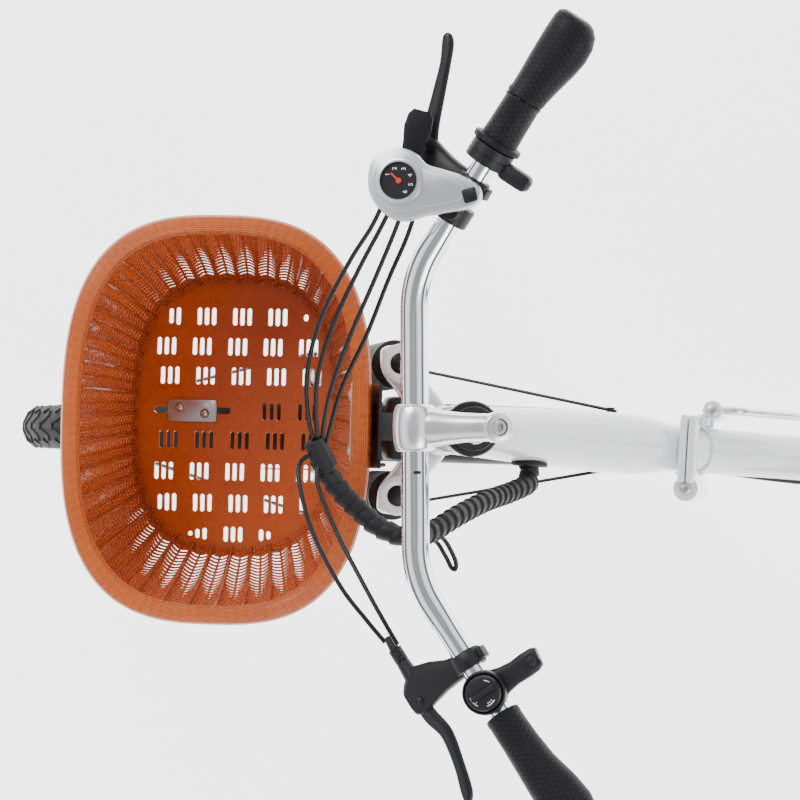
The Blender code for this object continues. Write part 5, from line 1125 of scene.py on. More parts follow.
def build_fender(name, node, axle, start, stop, body, angles, stay_y, place):
    radius = WHEEL_RADIUS + 0.014
    profile = [(-0.0308, -0.0140), (-0.0304, -0.0120), (-0.0296, -0.0075), (-0.0270, -0.0030), (-0.0220, 0.0),
               (-0.0120, 0.0018), (0.0, 0.0024), (0.0120, 0.0018), (0.0220, 0.0), (0.0270, -0.0030),
               (0.0296, -0.0075), (0.0304, -0.0120), (0.0308, -0.0140)]
    rings = []
    steps = 64
    for i in range(steps + 1):
        angle = math.radians(start + (stop - start) * i / steps)
        out = Vector((math.cos(angle), 0, math.sin(angle)))
        outer = [axle + out * (radius + rise) + RIGHT * y for y, rise in profile]
        inner = [axle + out * (radius + rise - 0.0020) + RIGHT * y * 0.94 for y, rise in reversed(profile)]
        rings.append(outer + inner)
    shape = Shape()
    shape.rings(rings)
    for angle in angles:
        angle = math.radians(angle)
        out = Vector((math.cos(angle), 0, math.sin(angle)))
        for side in (-1, 1):
            path = curve_through([axle + RIGHT * side * stay_y + out * 0.014,
                                  axle + RIGHT * side * stay_y + out * 0.040,
                                  axle + out * (radius - 0.030) + RIGHT * side * 0.0365,
                                  axle + out * (radius - 0.010) + RIGHT * side * 0.0322,
                                  axle + out * (radius - 0.003) + RIGHT * side * 0.0310], 6)
            shape.tube(path, 0.0019, 10, 1)
            spot = axle + out * (radius - 0.010) + RIGHT * side * 0.0322
            shape.rod(spot - RIGHT * side * 0.002, spot + RIGHT * side * 0.0035, 0.0046, slot=1, sides=20)
    shape.build(name + "_skin", [PLASTIC, BLACK_METAL], body, place, (node,))


# ---------------------------------------------------------------- wheels
def build_wheel(word, axle, body, hub_radius, half_width, disc_y, hub_skin, place):
    rim_top = WHEEL_RADIUS - 0.050 + 0.006
    section = []
    for k in range(25):
        angle = math.radians(-128 + 256 * k / 24)
        section.append((TYRE_MIDDLE + TYRE_HALF * math.cos(angle), -TYRE_HALF * math.sin(angle)))
    tyre = Shape()
    tyre.turned([(rim_top + 0.0006, 0.0118)] + section + [(rim_top + 0.0006, -0.0118)], axle, RIGHT, 144)
    blocks = 62
    corners = ((1, 1), (-1, 1), (-1, -1), (1, -1))
    for k in range(blocks):
        base = math.tau * k / blocks
        for row, (tilt, skew, size) in enumerate(((-52, -0.5, 0.0085), (-25, 0.55, 0.0080), (0, 0.0, 0.0065),
                                                  (25, -0.55, 0.0080), (52, 0.5, 0.0085))):
            angle = base + (0.5 * math.tau / blocks if row % 2 else 0)
            out = Vector((math.cos(angle), 0, math.sin(angle)))
            round_ = Vector((-math.sin(angle), 0, math.cos(angle)))
            t = math.radians(tilt)
            normal = out * math.cos(t) + RIGHT * math.sin(t)
            sideways = RIGHT * math.cos(t) - out * math.sin(t)
            a = round_ * math.cos(skew) + sideways * math.sin(skew)
            b = normal.cross(a)
            centre = axle + out * TYRE_MIDDLE + normal * TYRE_HALF
            low, high = centre - normal * 0.0010, centre + normal * 0.00145
            tyre.rings([[low + a * x * size + b * y * 0.0042 for x, y in corners],
                        [high + a * x * size * 0.86 + b * y * 0.0036 for x, y in corners]])
    tyre.build(word + "_tyre_tread", TYRE, body, place, (word + "_tyre",))
    rim = Shape()
    rim.turned([(rim_top, 0.0124), (rim_top - 0.001, 0.0128), (rim_top - 0.0090, 0.0120),
                (rim_top - 0.0140, 0.0085),
                (rim_top - 0.0160, 0.0040), (rim_top - 0.0160, -0.0040), (rim_top - 0.0140, -0.0085),
                (rim_top - 0.0090, -0.0120), (rim_top - 0.001, -0.0128), (rim_top, -0.0124),
                (rim_top - 0.004, -0.010),
                (rim_top - 0.005, 0.0), (rim_top - 0.004, 0.010)], axle, RIGHT, 144)
    spokes = 36
    for k in range(spokes):
        flange = 1 if k % 2 else -1
        angle = math.tau * k / spokes
        lean = 0.62 if k % 4 < 2 else -0.62
        root = axle + Vector((math.cos(angle + lean), 0, math.sin(angle + lean))) * (hub_radius - 0.003)
        root.y = axle.y + flange * (half_width - 0.001)
        tip = axle + Vector((math.cos(angle), 0, math.sin(angle))) * (rim_top - 0.0150)
        tip.y = axle.y + flange * 0.0025
        rim.rod(root, tip, 0.0010, sides=8, slot=1, bevel=0.0002)
        rim.rod(tip - (tip - root).normalized() * 0.012, tip, 0.0019, sides=10, slot=1, bevel=0.0003)
    rim.build(word + "_rim_and_spokes", [ALLOY, STEEL], body, place, (word + "_rim",))
    hub = Shape()
    f = half_width
    full = 0.0330 if word == "rear" else 0.0440
    hub.turned([(0.0070, full), (hub_radius * 0.50, full), (hub_radius * 0.56, full - 0.001),
                (hub_radius * 0.62, f + 0.003), (hub_radius * 0.96, f + 0.0016), (hub_radius, f + 0.0008),
                (hub_radius, f - 0.0018), (hub_radius * 0.96, f - 0.0024), (hub_radius * 0.86, f - 0.0045),
                (hub_radius * 0.84, 0.0), (hub_radius * 0.86, 0.0045 - f), (hub_radius * 0.96, 0.0024 - f),
                (hub_radius, 0.0018 - f), (hub_radius, -0.0008 - f), (hub_radius * 0.96, -0.0016 - f),
                (hub_radius * 0.62, -0.003 - f), (hub_radius * 0.56, 0.001 - full),
                (hub_radius * 0.50, -full), (0.0070, -full)], axle, RIGHT, 96)
    hub.build(word + "_hub_shell", hub_skin, body, place, (word + "_hub",))
    disc = Shape()
    wavy_washer(disc, axle + RIGHT * disc_y, lambda a: 0.0785 + 0.0014 * math.cos(12 * a),
                lambda a: 0.0640 + 0.0012 * math.cos(12 * a), 180)
    inner_r = hub_radius * 0.62 + 0.0006 if word == "rear" else 0.0130
    disc.turned([(inner_r, -0.0009), (inner_r + 0.012, -0.0009), (inner_r + 0.012, 0.0009),
                 (inner_r, 0.0009)],
                axle + RIGHT * disc_y, RIGHT, 64)
    for k in range(6):
        a = math.tau * k / 6
        b = a + 0.45
        start = axle + Vector((math.cos(a), 0, math.sin(a))) * (inner_r + 0.010) + RIGHT * disc_y
        end = axle + Vector((math.cos(b), 0, math.sin(b))) * 0.0655 + RIGHT * disc_y
        across = (end - start).normalized().cross(RIGHT)
        disc.rings([oval(p, across, RIGHT, 0.0042, 0.0009, 8, 6) for p in (start, start.lerp(end, 0.5), end)])
    disc.build(word + "_rotor", STEEL, body, place, (word + "_brake_disc",))


# ---------------------------------------------------------------- rear half
def build_rear_frame():
    shape = Shape()
    start, end = Vector((HINGE.x + 0.003, 0, 0.6155)), CRANK + Vector((0.02, 0, 0.050))
    shape.tube(curve_through([start, start.lerp(end, 0.5), end], 8), 0.0235, 48)
    shape.rod(on_seat(0.0), on_seat(0.330), 0.0175, sides=40)
    shape.rod(CRANK - RIGHT * 0.034, CRANK + RIGHT * 0.034, 0.0212, sides=40)
    shape.block((HINGE.x + 0.0043, -0.001, HINGE.z), (0.0074, 0.068, 0.150), None, 0.0018, power=7)
    for low, high in ((-0.060, -0.0255), (0.0255, 0.060)):
        shape.rod((HINGE.x, HINGE.y, HINGE.z + low), (HINGE.x, HINGE.y, HINGE.z + high), 0.0125, sides=32)
    for low, high in ((-0.034, -0.021), (0.021, 0.034)):
        shape.rod((LATCH.x, LATCH.y, HINGE.z + low), (LATCH.x, LATCH.y, HINGE.z + high), 0.0100, sides=28)
    for lift in (-0.0275, 0.0275):
        shape.block((-0.0880, 0.0300, HINGE.z + lift), (0.010, 0.012, 0.0130), None, 0.002)
    for side in (-1, 1):
        shape.tube(curve_through([CRANK + Vector((0.010, side * 0.022, 0)),
                                  CRANK + Vector((0.040, side * 0.034, 0.004)),
                                  CRANK + Vector((0.095, side * 0.0365, 0.010)),
                                  CRANK + Vector((0.260, side * 0.0530, 0.033)),
                                  REAR_AXLE + Vector((-0.030, side * 0.0685, -0.002))], 8), 0.0083, 20)
        shape.tube(curve_through([on_seat(0.285, side * 0.010),
                                  on_seat(0.280, side * 0.014) + Vector((0.018, 0, -0.010)),
                                  on_seat(0.262, side * 0.0430) + Vector((0.055, 0, -0.028)),
                                  REAR_AXLE + Vector((-0.130, side * 0.0590, 0.100)),
                                  REAR_AXLE + Vector((-0.012, side * 0.0690, 0.018))], 8), 0.0070, 20)
        drop = smooth_outline([(-0.042, -0.008), (-0.030, 0.012), (-0.016, 0.030), (0.004, 0.030),
                               (0.016, 0.010), (0.012, -0.014), (-0.010, -0.018)], 4)
        rings = []
        for y, inset in ((-0.0027, 0.94), (-0.0020, 1.0), (0.0020, 1.0), (0.0027, 0.94)):
            rings.append([REAR_AXLE + Vector((x * inset, side * 0.068 + y, z * inset)) for x, z in drop])
        shape.rings(rings)
    shape.rod((0.180, -0.038, 0.309), (0.180, 0.038, 0.309), 0.0070, sides=20)
    tab = [(-0.075, 0.010), (-0.020, 0.000), (-0.010, 0.030), (-0.060, 0.060)]
    shape.rings([[REAR_AXLE + Vector((x, -0.068 + y, z)) for x, z in tab] for y in (-0.0027, 0.0027)])
    weld = oval(Vector((HINGE.x + 0.0085, 0, 0.6095)), RIGHT, Vector((0.30, 0, 0.95)), 0.0238, 0.0250, 48)
    shape.tube(weld, 0.0020, 8, closed=True)
    shape.build("rear_frame_tubes", WHITE, "rear_frame", FIXED, ("rear_frame",))
    cable = Shape()
    cable.tube(curve_through([(-0.085, -0.020, 0.585), (-0.02, -0.0245, 0.520), (0.05, -0.026, 0.425),
                              (0.10, -0.027, 0.352),
                              (0.16, -0.0300, 0.325), (0.23, -0.0440, 0.338)], 8), 0.0022, 10)
    for t in (0.25, 0.60):
        p = Vector((-0.02, -0.0235, 0.520)).lerp(Vector((0.05, -0.025, 0.425)), t)
        cable.block(p, (0.006, 0.007, 0.005), None, 0.001)
    cable.build("rear_cables", CABLE, "rear_frame", FIXED, ())
    caliper = Shape()
    turn = Quaternion((0, 1, 0), math.radians(35))
    caliper.block(REAR_AXLE + Vector((-0.048, -0.0485, 0.048)), (0.048, 0.0110, 0.027), turn, 0.004, power=5)
    caliper.block(REAR_AXLE + Vector((-0.048, -0.0365, 0.048)), (0.042, 0.0036, 0.024), turn, 0.0012, power=5)
    for x in (-0.016, 0.016):
        caliper.turned([(0, 0.0026), (0.0040, 0.0024), (0.0046, 0.0), (0, 0.0)],
                       REAR_AXLE + Vector((-0.048, -0.0540, 0.048)) + turn @ Vector((x, 0, 0)), -RIGHT, 20, 1)
    caliper.build("rear_caliper_body", [BLACK_METAL, STEEL], "rear_frame", FIXED, ("rear_brake_caliper",))


def build_seat():
    base = on_seat(0.598)
    low = base + Vector((0, 0, 0.0335))
    stations = ((-0.151, 0.004, 0.003, 0.012), (-0.148, 0.012, 0.008, 0.013), (-0.135, 0.021, 0.0130, 0.014),
                (-0.080, 0.030, 0.0185, 0.018), (-0.010, 0.052, 0.0225, 0.022), (0.050, 0.088, 0.0260, 0.026),
                (0.095, 0.103, 0.0270, 0.029), (0.125, 0.088, 0.0215, 0.028), (0.136, 0.055, 0.012, 0.023),
                (0.139, 0.020, 0.004, 0.020))
    spine = curve_through([Vector((x, w, h)) for x, w, h, _ in stations], 5)
    middles = curve_through([Vector((m, 0, 0)) for *_, m in stations], 5)
    rings = []
    for s, m in zip(spine, middles):
        ring = oval(low + Vector((s.x, 0, m.x + 0.004)), RIGHT, Z, max(s.y, 0.002), max(s.z, 0.002), 48, 2.3)
        for point in ring:
            across = point.y / max(s.y, 0.002)
            if point.z > low.z + m.x:
                point.z -= 0.0045 * math.exp(-(across / 0.20) ** 2) * min(1, s.y / 0.05)
            else:
                point.z = max(point.z, low.z + m.x - s.z * 0.70)
        rings.append(ring)
    pad = Shape()
    pad.rings(rings)
    edge = [low + Vector((s.x, s.y * 0.985, m.x + 0.0035)) for s, m in zip(spine, middles)]
    seam = [Vector(p) for p in curve_through(edge[3:-3], 1)]
    pad.tube(seam, 0.0011, 6)
    pad.tube([Vector((p.x, -p.y, p.z)) for p in seam], 0.0011, 6)
    saddle = pad.build("saddle_cover", VINYL, "seat_post", FIXED, ("saddle",))
    post = Shape()
    post.rod(on_seat(0.190), on_seat(0.600), 0.0139, sides=40)
    post.rod(base - RIGHT * 0.022, base + RIGHT * 0.022, 0.0125, slot=1, sides=32)
    post.rod(base - RIGHT * 0.026, base + RIGHT * 0.026, 0.0045, slot=1, sides=6)
    for side in (-1, 1):
        post.tube(curve_through([base + Vector((-0.105, side * 0.012, 0.030)),
                                 base + Vector((-0.060, side * 0.020, 0.010)),
                                 base + Vector((0.050, side * 0.020, 0.006)),
                                 base + Vector((0.110, side * 0.045, 0.030))],
                                8), 0.0035, 12, 2)
    post.build("seat_post_tube", [CHROME, BLACK_METAL, STEEL], "seat_post", FIXED, ("seatpost",))
    collar = Shape()
    place = on_seat(0.330)
    collar.turned([(0.0179, -0.0005), (0.0215, -0.0005), (0.0228, -0.0020), (0.0228, -0.0200),
                   (0.0215, -0.0215), (0.0179, -0.0215)], place, SEAT_DIRECTION, 48)
    collar.build("seat_collar", BLACK_METAL, "rear_frame", FIXED, ("seat_clamp",))
    lug = on_seat(0.319) + Vector((0.0285, 0, -0.009))
    lever = Shape()
    lever.rod(lug - RIGHT * 0.016, lug + RIGHT * 0.016, 0.0050)
    lever.rod(lug - RIGHT * 0.0240, lug - RIGHT * 0.0155, 0.0080)
    path = curve_through([lug - RIGHT * 0.018, lug - RIGHT * 0.0265 + Vector((0.004, 0, -0.004)),
                          lug - RIGHT * 0.0300 + Vector((0.012, 0, -0.030)),
                          lug - RIGHT * 0.0300 + Vector((0.013, 0, -0.044))], 6)
    lever.tube(path, [0.0045 + 0.0012 * math.sin(math.pi * i / (len(path) - 1)) for i in range(len(path))],
               16)
    lever.build("seat_quick_lever", ALLOY, "seat_lever", FIXED, ("seat_clamp_lever",))


def crank_rings(side):
    end = CRANK + Vector((0, 0, -side * CRANK_LENGTH))
    stations = [Vector(s) for s in ((-0.092, 0.0060, 0.0660), (-0.075, 0.0115, 0.0660),
                                    (-0.04, 0.0148, 0.0660),
                                    (0.06, 0.0140, 0.0660), (0.5, 0.0100, 0.0730), (0.93, 0.0108, 0.0780),
                                    (1.02, 0.0122, 0.0780), (1.06, 0.0095, 0.0780), (1.08, 0.0050, 0.0780))]
    return [oval(CRANK.lerp(end, s.x) + RIGHT * side * (s.z + 0.006), RIGHT, Vector((1, 0, 0)), 0.0063, s.y,
                 28, 3.2)
            for s in curve_through(stations, 4)]


def build_drive():
    ring = Shape()
    teeth = 42
    centre = CRANK + RIGHT * CHAIN_LINE
    wavy_washer(ring, centre, lambda a: 0.0798 + 0.0032 * max(-0.7, math.cos(teeth * a)), lambda a: 0.0700,
                teeth * 6, 0.0011, 0.0014)
    for k in range(5):
        a = math.tau * k / 5
        tip = centre + Vector((math.cos(a), 0, math.sin(a))) * 0.0715
        root = centre + Vector((math.cos(a), 0, math.sin(a))) * 0.012
        across = Vector((-math.sin(a), 0, math.cos(a)))
        ring.rings([oval(p + RIGHT * 0.001, across, RIGHT, w, h, 20, 4)
                    for p, w, h in ((root, 0.0110, 0.004), (root.lerp(tip, 0.4), 0.0095, 0.0030),
                                    (tip, 0.0075, 0.0022))])
        ring.rod(tip - RIGHT * 0.003 - Vector((math.cos(a), 0, math.sin(a))) * 0.004,
                 tip + RIGHT * 0.004 - Vector((math.cos(a), 0, math.sin(a))) * 0.004, 0.0045, sides=20,
                 slot=1)
    ring.rod(CRANK - RIGHT * 0.078, CRANK + RIGHT * 0.074, 0.0085, slot=1)
    ring.rod(centre - RIGHT * 0.004, centre + RIGHT * 0.012, 0.0200, sides=40)
    ring.rings(crank_rings(1))
    end = CRANK + Vector((0, 0, -CRANK_LENGTH))
    ring.rod(end + RIGHT * 0.080, end + RIGHT * 0.176, 0.0045, slot=1)
    ring.rod(CRANK + RIGHT * 0.0770, CRANK + RIGHT * 0.0795, 0.0085, slot=1)
    ring.build("chainring_and_crank", [ALLOY, STEEL], "crank", FIXED, ("crankset",))
    left = Shape()
    left.rings(crank_rings(-1))
    end = CRANK + Vector((0, 0, CRANK_LENGTH))
    left.rod(end - RIGHT * 0.176, end - RIGHT * 0.080, 0.0045, slot=1)
    left.rod(CRANK - RIGHT * 0.0800, CRANK - RIGHT * 0.0760, 0.0088, slot=1)
    left.build("left_crank", [ALLOY, STEEL], "crank", FIXED, ("left_crank_arm",))
    for side, word in ((-1, "left"), (1, "right")):
        middle = CRANK + Vector((0, side * 0.136, -side * CRANK_LENGTH))
        pedal = Shape()
        for y in (-0.037, 0.037):
            pedal.block(middle + Vector((0, y, 0)), (0.088, 0.008, 0.020), None, 0.002, power=6)
        for x in (-0.040, 0.040):
            pedal.block(middle + Vector((x, 0, 0)), (0.008, 0.080, 0.021), None, 0.002, power=6)
        pedal.turned(mirrored((0.0052, 0.040), (0.0110, 0.040), (0.0095, 0.012)), middle, RIGHT, 32)
        for y in (-0.018, 0.0, 0.018):
            pedal.block(middle + Vector((0, y, 0)), (0.078, 0.0045, 0.014), None, 0.001, power=6)
        for x in (-0.0445, 0.0445):
            pedal.block(middle + Vector((x * 0.985, 0, 0)), (0.0030, 0.040, 0.0090), None, 0.001, 1, 6)
            for k in range(7):
                pedal.rod(middle + Vector((x * 0.90, -0.030 + 0.010 * k, 0.0095)),
                          middle + Vector((x * 0.90, -0.030 + 0.010 * k, 0.0112)), 0.0015, sides=8,
                          bevel=0.0003)
        pedal.build(word + "_pedal_cage", [PLASTIC, RED], "pedal_" + word, FIXED, (word + "_pedal",))


def belt(circles, arc_step):
    """Points round a belt over (centre, radius, turning direction) circles."""
    count = len(circles)
    tangents = []
    for i in range(count):
        (a, ra, sa), (b, rb, sb) = circles[i], circles[(i + 1) % count]
        gap = Vector(b) - Vector(a)
        lean = math.asin((sb * rb - sa * ra) / gap.length)
        angle = math.atan2(gap.y, gap.x) - lean
        normal = Vector((-math.sin(angle), math.cos(angle)))
        tangents.append((Vector(a) - normal * sa * ra, Vector(b) - normal * sb * rb))
    points = []
    for i in range(count):
        centre, radius, turn = circles[i]
        centre = Vector(centre)
        arrive, leave = tangents[i - 1][1] - centre, tangents[i][0] - centre
        start = math.atan2(arrive.y, arrive.x)
        sweep = (math.atan2(leave.y, leave.x) - start) * turn % math.tau
        steps = max(1, round(sweep / arc_step))
        for k in range(steps + 1):
            angle = start + turn * sweep * k / steps
            points.append(centre + Vector((math.cos(angle), math.sin(angle))) * radius)
    return points


GUIDE = REAR_AXLE + Vector((0.006, CHAIN_LINE, -0.070))
TENSION = REAR_AXLE + Vector((-0.022, CHAIN_LINE, -0.124))
PULLEY_RADIUS = 0.0224
LINK_PITCH = 0.0127


def build_chain():
    route = belt([((CRANK.x, CRANK.z), 0.085, -1), ((REAR_AXLE.x, REAR_AXLE.z), 0.036, -1),
                  ((GUIDE.x, GUIDE.z), PULLEY_RADIUS, 1), ((TENSION.x, TENSION.z), PULLEY_RADIUS, -1)], 0.05)
    length = sum((b - a).length for a, b in zip(route, route[1:] + route[:1]))
    links = int(round(length / LINK_PITCH / 2)) * 2
    pins = [Vector((flat.x, CHAIN_LINE, flat.y)) for flat in spaced_along(route, links)]
    shape = Shape()
    for i, pin in enumerate(pins):
        other = pins[(i + 1) % links]
        along = (other - pin).normalized()
        up = along.cross(RIGHT)
        middle = (pin + other) / 2
        wide = 0.0027 if i % 2 else 0.0018
        for side in (-1, 1):
            ring = oval(middle, along, up, (other - pin).length / 2 + 0.0028, 0.0029, 10, 2.6)
            shape.rings([[p + RIGHT * (side * wide + y) for p in ring] for y in (-0.0004, 0.0004)])
        shape.rod(pin - RIGHT * 0.0031, pin + RIGHT * 0.0031, 0.0017, sides=8, bevel=0.0002)
    shape.build("chain_links", STEEL, "rear_frame", FIXED, ("chain",))


def build_gears():
    body = Shape()
    specs = ((0.036, 0.052, 18), (0.0400, 0.0475, 20), (0.0440, 0.0430, 22), (0.0480, 0.0385, 24))
    for radius, y, teeth in specs:
        limit = 0.0324 if y > 0.050 else radius
        wavy_washer(body, REAR_AXLE + RIGHT * y, lambda a: limit + 0.0018 * math.cos(teeth * a),
                    lambda a: 0.0180,
                    teeth * 6)
    body.turned([(0.0112, 0.0370), (0.0200, 0.0370), (0.0200, 0.0585), (0.0112, 0.0585)], REAR_AXLE, RIGHT,
                48)
    body.turned([(0.0112, 0.0560), (0.0245, 0.0560), (0.0255, 0.0570), (0.0245, 0.0588), (0.0112, 0.0588)],
                REAR_AXLE,
                RIGHT, 48)
    body.build("sprocket_stack", STEEL, "freewheel", FIXED, ("freewheel_sprockets",))
    for name, node, at, carrier in (("guide_wheel", "guide_pulley", GUIDE, "pulley_guide"),
                                    ("tension_wheel", "tension_pulley", TENSION, "pulley_tension")):
        wheel = Shape()
        wheel.turned(mirrored((0.0031, 0.0022), (0.0070, 0.0022), (0.0080, 0.0014), (0.0180, 0.0014)), at,
                     RIGHT, 66,
                     wobble=lambda a, r: 1 + (0.055 * math.cos(11 * a) if r > 0.015 else 0))
        wheel.build(name, PLASTIC, carrier, FIXED, (node,))
    cage = Shape()
    for y in (0.0042, -0.0046):
        outline = []
        for centre, start in ((GUIDE, 62), (TENSION, 242)):
            for k in range(13):
                a = math.radians(start - 90 + 15 * k)
                outline.append(centre + Vector((math.cos(a), 0, math.sin(a))) * 0.0128)
        cage.rings([[p + RIGHT * (y + dy) for p in outline] for dy in (-0.0007, 0.0007)])
    for at in (GUIDE, TENSION):
        cage.rod(at - RIGHT * 0.0060, at + RIGHT * 0.0075, 0.0026, slot=1, sides=16)
        cage.rod(at + RIGHT * 0.0050, at + RIGHT * 0.0070, 0.0050, slot=1, sides=6)
    turn = Quaternion((0, 1, 0), 0.2)
    cage.block(GUIDE + Vector((0.006, 0.0150, 0.016)), (0.024, 0.016, 0.040), turn, 0.004, power=4)
    cage.rod(GUIDE + Vector((0.0, 0.0060, 0.0)), GUIDE + Vector((0.0, 0.0160, 0.004)), 0.0100)
    hanger = [(-0.008, 0.002), (0.010, 0.002), (0.016, 0.042), (0.004, 0.044)]
    cage.rings([[GUIDE + Vector((x, 0.0235 + y, z)) for x, z in hanger] for y in (-0.0020, 0.0020)])
    cage.build("derailleur_body", [BLACK_METAL, STEEL], "rear_frame", FIXED, ("derailleur",))


def build_small_parts():
    for word, axle, body, place in (("rear", REAR_AXLE, "rear_frame", FIXED),
                                    ("front", FRONT_AXLE, "fork_slider", STEER)):
        reach = 0.0880 if word == "rear" else 0.0900
        shape = Shape()
        shape.rod(axle - RIGHT * reach, axle + RIGHT * reach, 0.0050, sides=24)
        low, high = (0.0712, 0.0785) if word == "rear" else (0.0804, 0.0868)
        for side in (-1, 1):
            shape.rod(axle + RIGHT * side * low, axle + RIGHT * side * high, 0.0098, sides=6, bevel=0.0010)
            shape.rod(axle + RIGHT * side * (low - 0.0002), axle + RIGHT * side * (low + 0.0016), 0.0108,
                      sides=32)
        shape.rod(axle - RIGHT * 0.060, axle + RIGHT * 0.060, 0.0058, sides=24)
        shape.build(word + "_axle_and_nuts", STEEL, body, place, (word + "_axle",))
    latch = Shape()
    latch.rod(LATCH - Z * 0.0202, LATCH + Z * 0.0202, 0.0100, sides=32)
    stations = [Vector(s) for s in ((0.0, 0.0, 0.0140), (0.020, 0.0, 0.0130), (0.036, 0.012, 0.0110),
                                    (0.060, 0.038, 0.0115), (0.078, 0.058, 0.0120), (0.088, 0.069, 0.0080))]
    lean = Vector((0.50, 0, 0.87))
    latch.rings([oval(LATCH + Vector((s.x, 0.0020, -s.y)), RIGHT, lean, 0.0045, s.z, 24, 3.0)
                 for s in curve_through(stations, 5)])
    latch.build("latch_handle", ALLOY, "fold_latch", FIXED, ("fold_latch_lever",))
    pins = Shape()
    for at, half, radius in ((HINGE, 0.066, 0.0057), (LATCH, 0.037, 0.0060)):
        for side in (-1, 1):
            pins.turned([(0, half), (radius * 0.6, half), (radius, half - 0.0012), (radius, half - 0.0052),
                         (0, half - 0.0052)],
                        at, Z * side, 32)
        pins.rod(at - Z * (half - 0.006), at + Z * (half - 0.006), radius * 0.6)
    pins.build("hinge_and_latch_pins", STEEL, "rear_frame", FIXED, ("fold_hinge_pin", "fold_latch_pin"))
    stand = Shape()
    radius = 0.006
    reach = math.sqrt(0.3605**2 - (REAR_AXLE.z - radius) ** 2)
    foot = Vector((REAR_AXLE.x - reach, 0, radius))
    line = [REAR_AXLE - RIGHT * 0.0835 - Vector((0.003, 0, 0.0120)),
            REAR_AXLE.lerp(foot, 0.25) - RIGHT * 0.096,
            REAR_AXLE.lerp(foot, 0.90) - RIGHT * 0.125, foot - RIGHT * 0.113]
    path = []
    for a, b in zip(line, line[1:]):
        path += [a.lerp(b, t) for t in (0.0, 0.1, 0.9)]
    path.append(line[-1])
    path = path + [Vector((p.x, -p.y, p.z)) for p in reversed(path)]
    stand.tube(path, radius, 20)
    for side in (-1, 1):
        stand.turned(mirrored((0.0066, -0.0023), (0.0165, -0.0023), (0.0175, -0.0015)),
                     REAR_AXLE + RIGHT * side * 0.0822, RIGHT, 40)
    for side in (-1, 1):
        stand.rod(foot + RIGHT * side * 0.060, foot + RIGHT * side * 0.100, 0.0060, slot=1)
    stand.build("stand_bow", [BLACK_METAL, RUBBER], "stand", FIXED, ("rear_stand",))
    repaint("battery_pack", PLASTIC)


# ---------------------------------------------------------------- build
build_basket_shell()
build_basket_floor()
build_basket_steel()
build_bar_and_stem()
build_grips()
build_lever(1, 0.232, 0.052, RIGHT_BLADE)
build_lever(-1, 0.222, 0.058, LEFT_BLADE)
build_shifter()
build_switches()
build_harness()
build_front_frame()
build_fork()
build_fender("front_fender", "front_fender", FRONT_AXLE, -3, 128, "fork_slider", (8, 112), 0.0875, STEER)
build_fender("rear_fender", "rear_fender", REAR_AXLE, -12, 148, "rear_frame", (20, 80), 0.0755, FIXED)
build_wheel("front", FRONT_AXLE, "wheel_front", 0.021, 0.0300, -0.0405, ALLOY, STEER)
build_wheel("rear", REAR_AXLE, "wheel_rear", 0.062, 0.0270, -0.0400, BLACK_METAL, FIXED)
build_rear_frame()
build_seat()
build_drive()
build_chain()
build_gears()
build_small_parts()

# ---------------------------------------------------------------- floor, light and camera
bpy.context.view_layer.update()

floor_nodes = Nodes("pale_floor")
floor_tone = floor_nodes.mixed(floor_nodes.noise(floor_nodes.place, 3.0), (0.90, 0.90, 0.90),
                               (0.93, 0.93, 0.93))
FLOOR = floor_nodes.set(colour=floor_tone,
                        rough=floor_nodes.ranged(floor_nodes.noise(floor_nodes.place, 8.0), 0.7, 0.9),
                        specular=0.1)
floor_nodes.shader.inputs["Emission Color"].default_value = (1, 1, 1, 1)
floor_nodes.shader.inputs["Emission Strength"].default_value = 2.6
ground_mesh = bpy.data.meshes.new("ground")
ground_mesh.from_pydata([(-60, -60, 0), (60, -60, 0), (60, 60, 0), (-60, 60, 0)], [], [(0, 1, 2, 3)])
ground_mesh.materials.append(FLOOR)
ground = bpy.data.objects.new("ground", ground_mesh)
bpy.context.scene.collection.objects.link(ground)

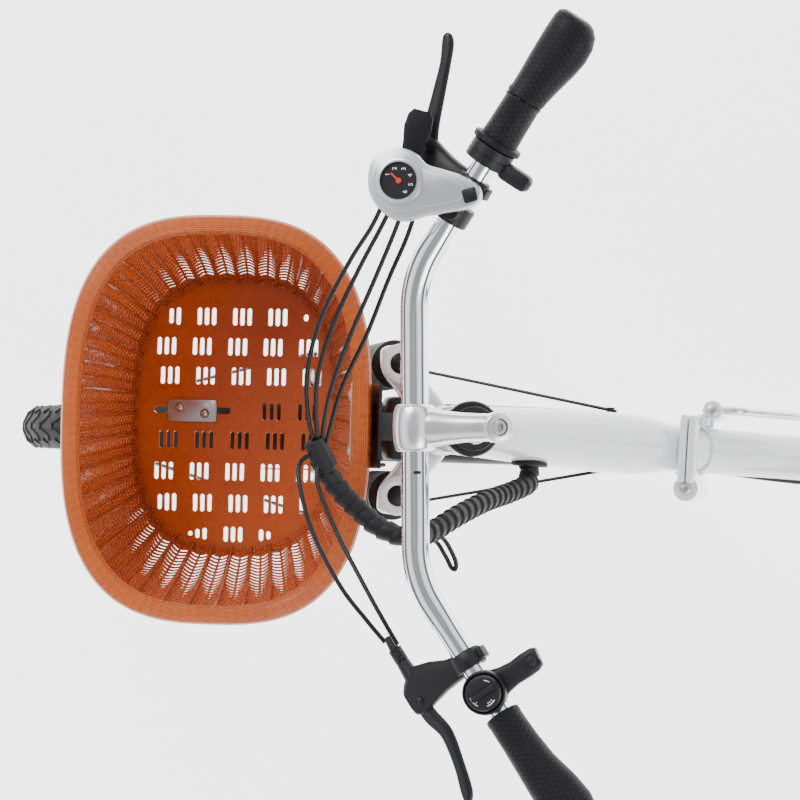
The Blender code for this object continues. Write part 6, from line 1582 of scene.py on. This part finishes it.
world = bpy.data.worlds.new("studio")
world.use_nodes = True
background = world.node_tree.nodes["Background"]
sky = world.node_tree.nodes.new("ShaderNodeTexCoord")
lift = world.node_tree.nodes.new("ShaderNodeSeparateXYZ")
ramp = world.node_tree.nodes.new("ShaderNodeValToRGB")
world.node_tree.links.new(sky.outputs["Generated"], lift.inputs[0])
world.node_tree.links.new(lift.outputs["Z"], ramp.inputs["Fac"])
world.node_tree.links.new(ramp.outputs["Color"], background.inputs["Color"])
ramp.color_ramp.elements[0].position = 0.0
ramp.color_ramp.elements[0].color = (0.25, 0.25, 0.26, 1)
for at, tone in ((0.30, 0.12), (0.45, 1.1), (0.80, 1.0), (0.93, 0.25)):
    stop = ramp.color_ramp.elements.new(at)
    stop.color = (tone, tone, tone * 1.01, 1)
ramp.color_ramp.elements[-1].position = 1.0
ramp.color_ramp.elements[-1].color = (0.36, 0.36, 0.37, 1)
background.inputs["Strength"].default_value = 1.5
bpy.context.scene.world = world


def area_light(name, place, target, size_x, size_y, power):
    data = bpy.data.lights.new(name, "AREA")
    data.shape = "RECTANGLE"
    data.size = size_x
    data.size_y = size_y
    data.energy = power
    lamp = bpy.data.objects.new(name, data)
    lamp.location = place
    lamp.rotation_mode = "QUATERNION"
    lamp.rotation_quaternion = (Vector(target) - Vector(place)).to_track_quat("-Z", "Y")
    bpy.context.scene.collection.objects.link(lamp)


area_light("key", (-1.6, 1.8, 3.4), (-0.3, 0, 0.8), 1.6, 1.6, 70)
area_light("fill", (1.8, -1.6, 3.0), (-0.2, 0, 0.8), 1.6, 1.6, 40)

camera_data = bpy.data.cameras.new("camera")
camera_data.sensor_width = 36
camera_data.lens = 148.15
camera = bpy.data.objects.new("camera", camera_data)
bpy.context.scene.collection.objects.link(camera)
# Solved from the photograph: straight down, in pixels right, up and ahead of the middle of the view.
down = Vector((598.7, -137.9, -3292)).normalized()
world_z = -down
world_x = (Vector((1, 0, 0)) - world_z * world_z.x).normalized()
world_y = world_z.cross(world_x)
yaw = math.radians(-3.71)
axis_x = world_x * math.cos(yaw) + world_y * math.sin(yaw)
axis_y = world_y * math.cos(yaw) - world_x * math.sin(yaw)
camera.rotation_mode = "QUATERNION"
camera.rotation_quaternion = Matrix((axis_x, axis_y, world_z)).to_quaternion()
camera.location = (0.212, -0.0702, 3.988)
camera_data.clip_end = 200
bpy.context.scene.camera = camera
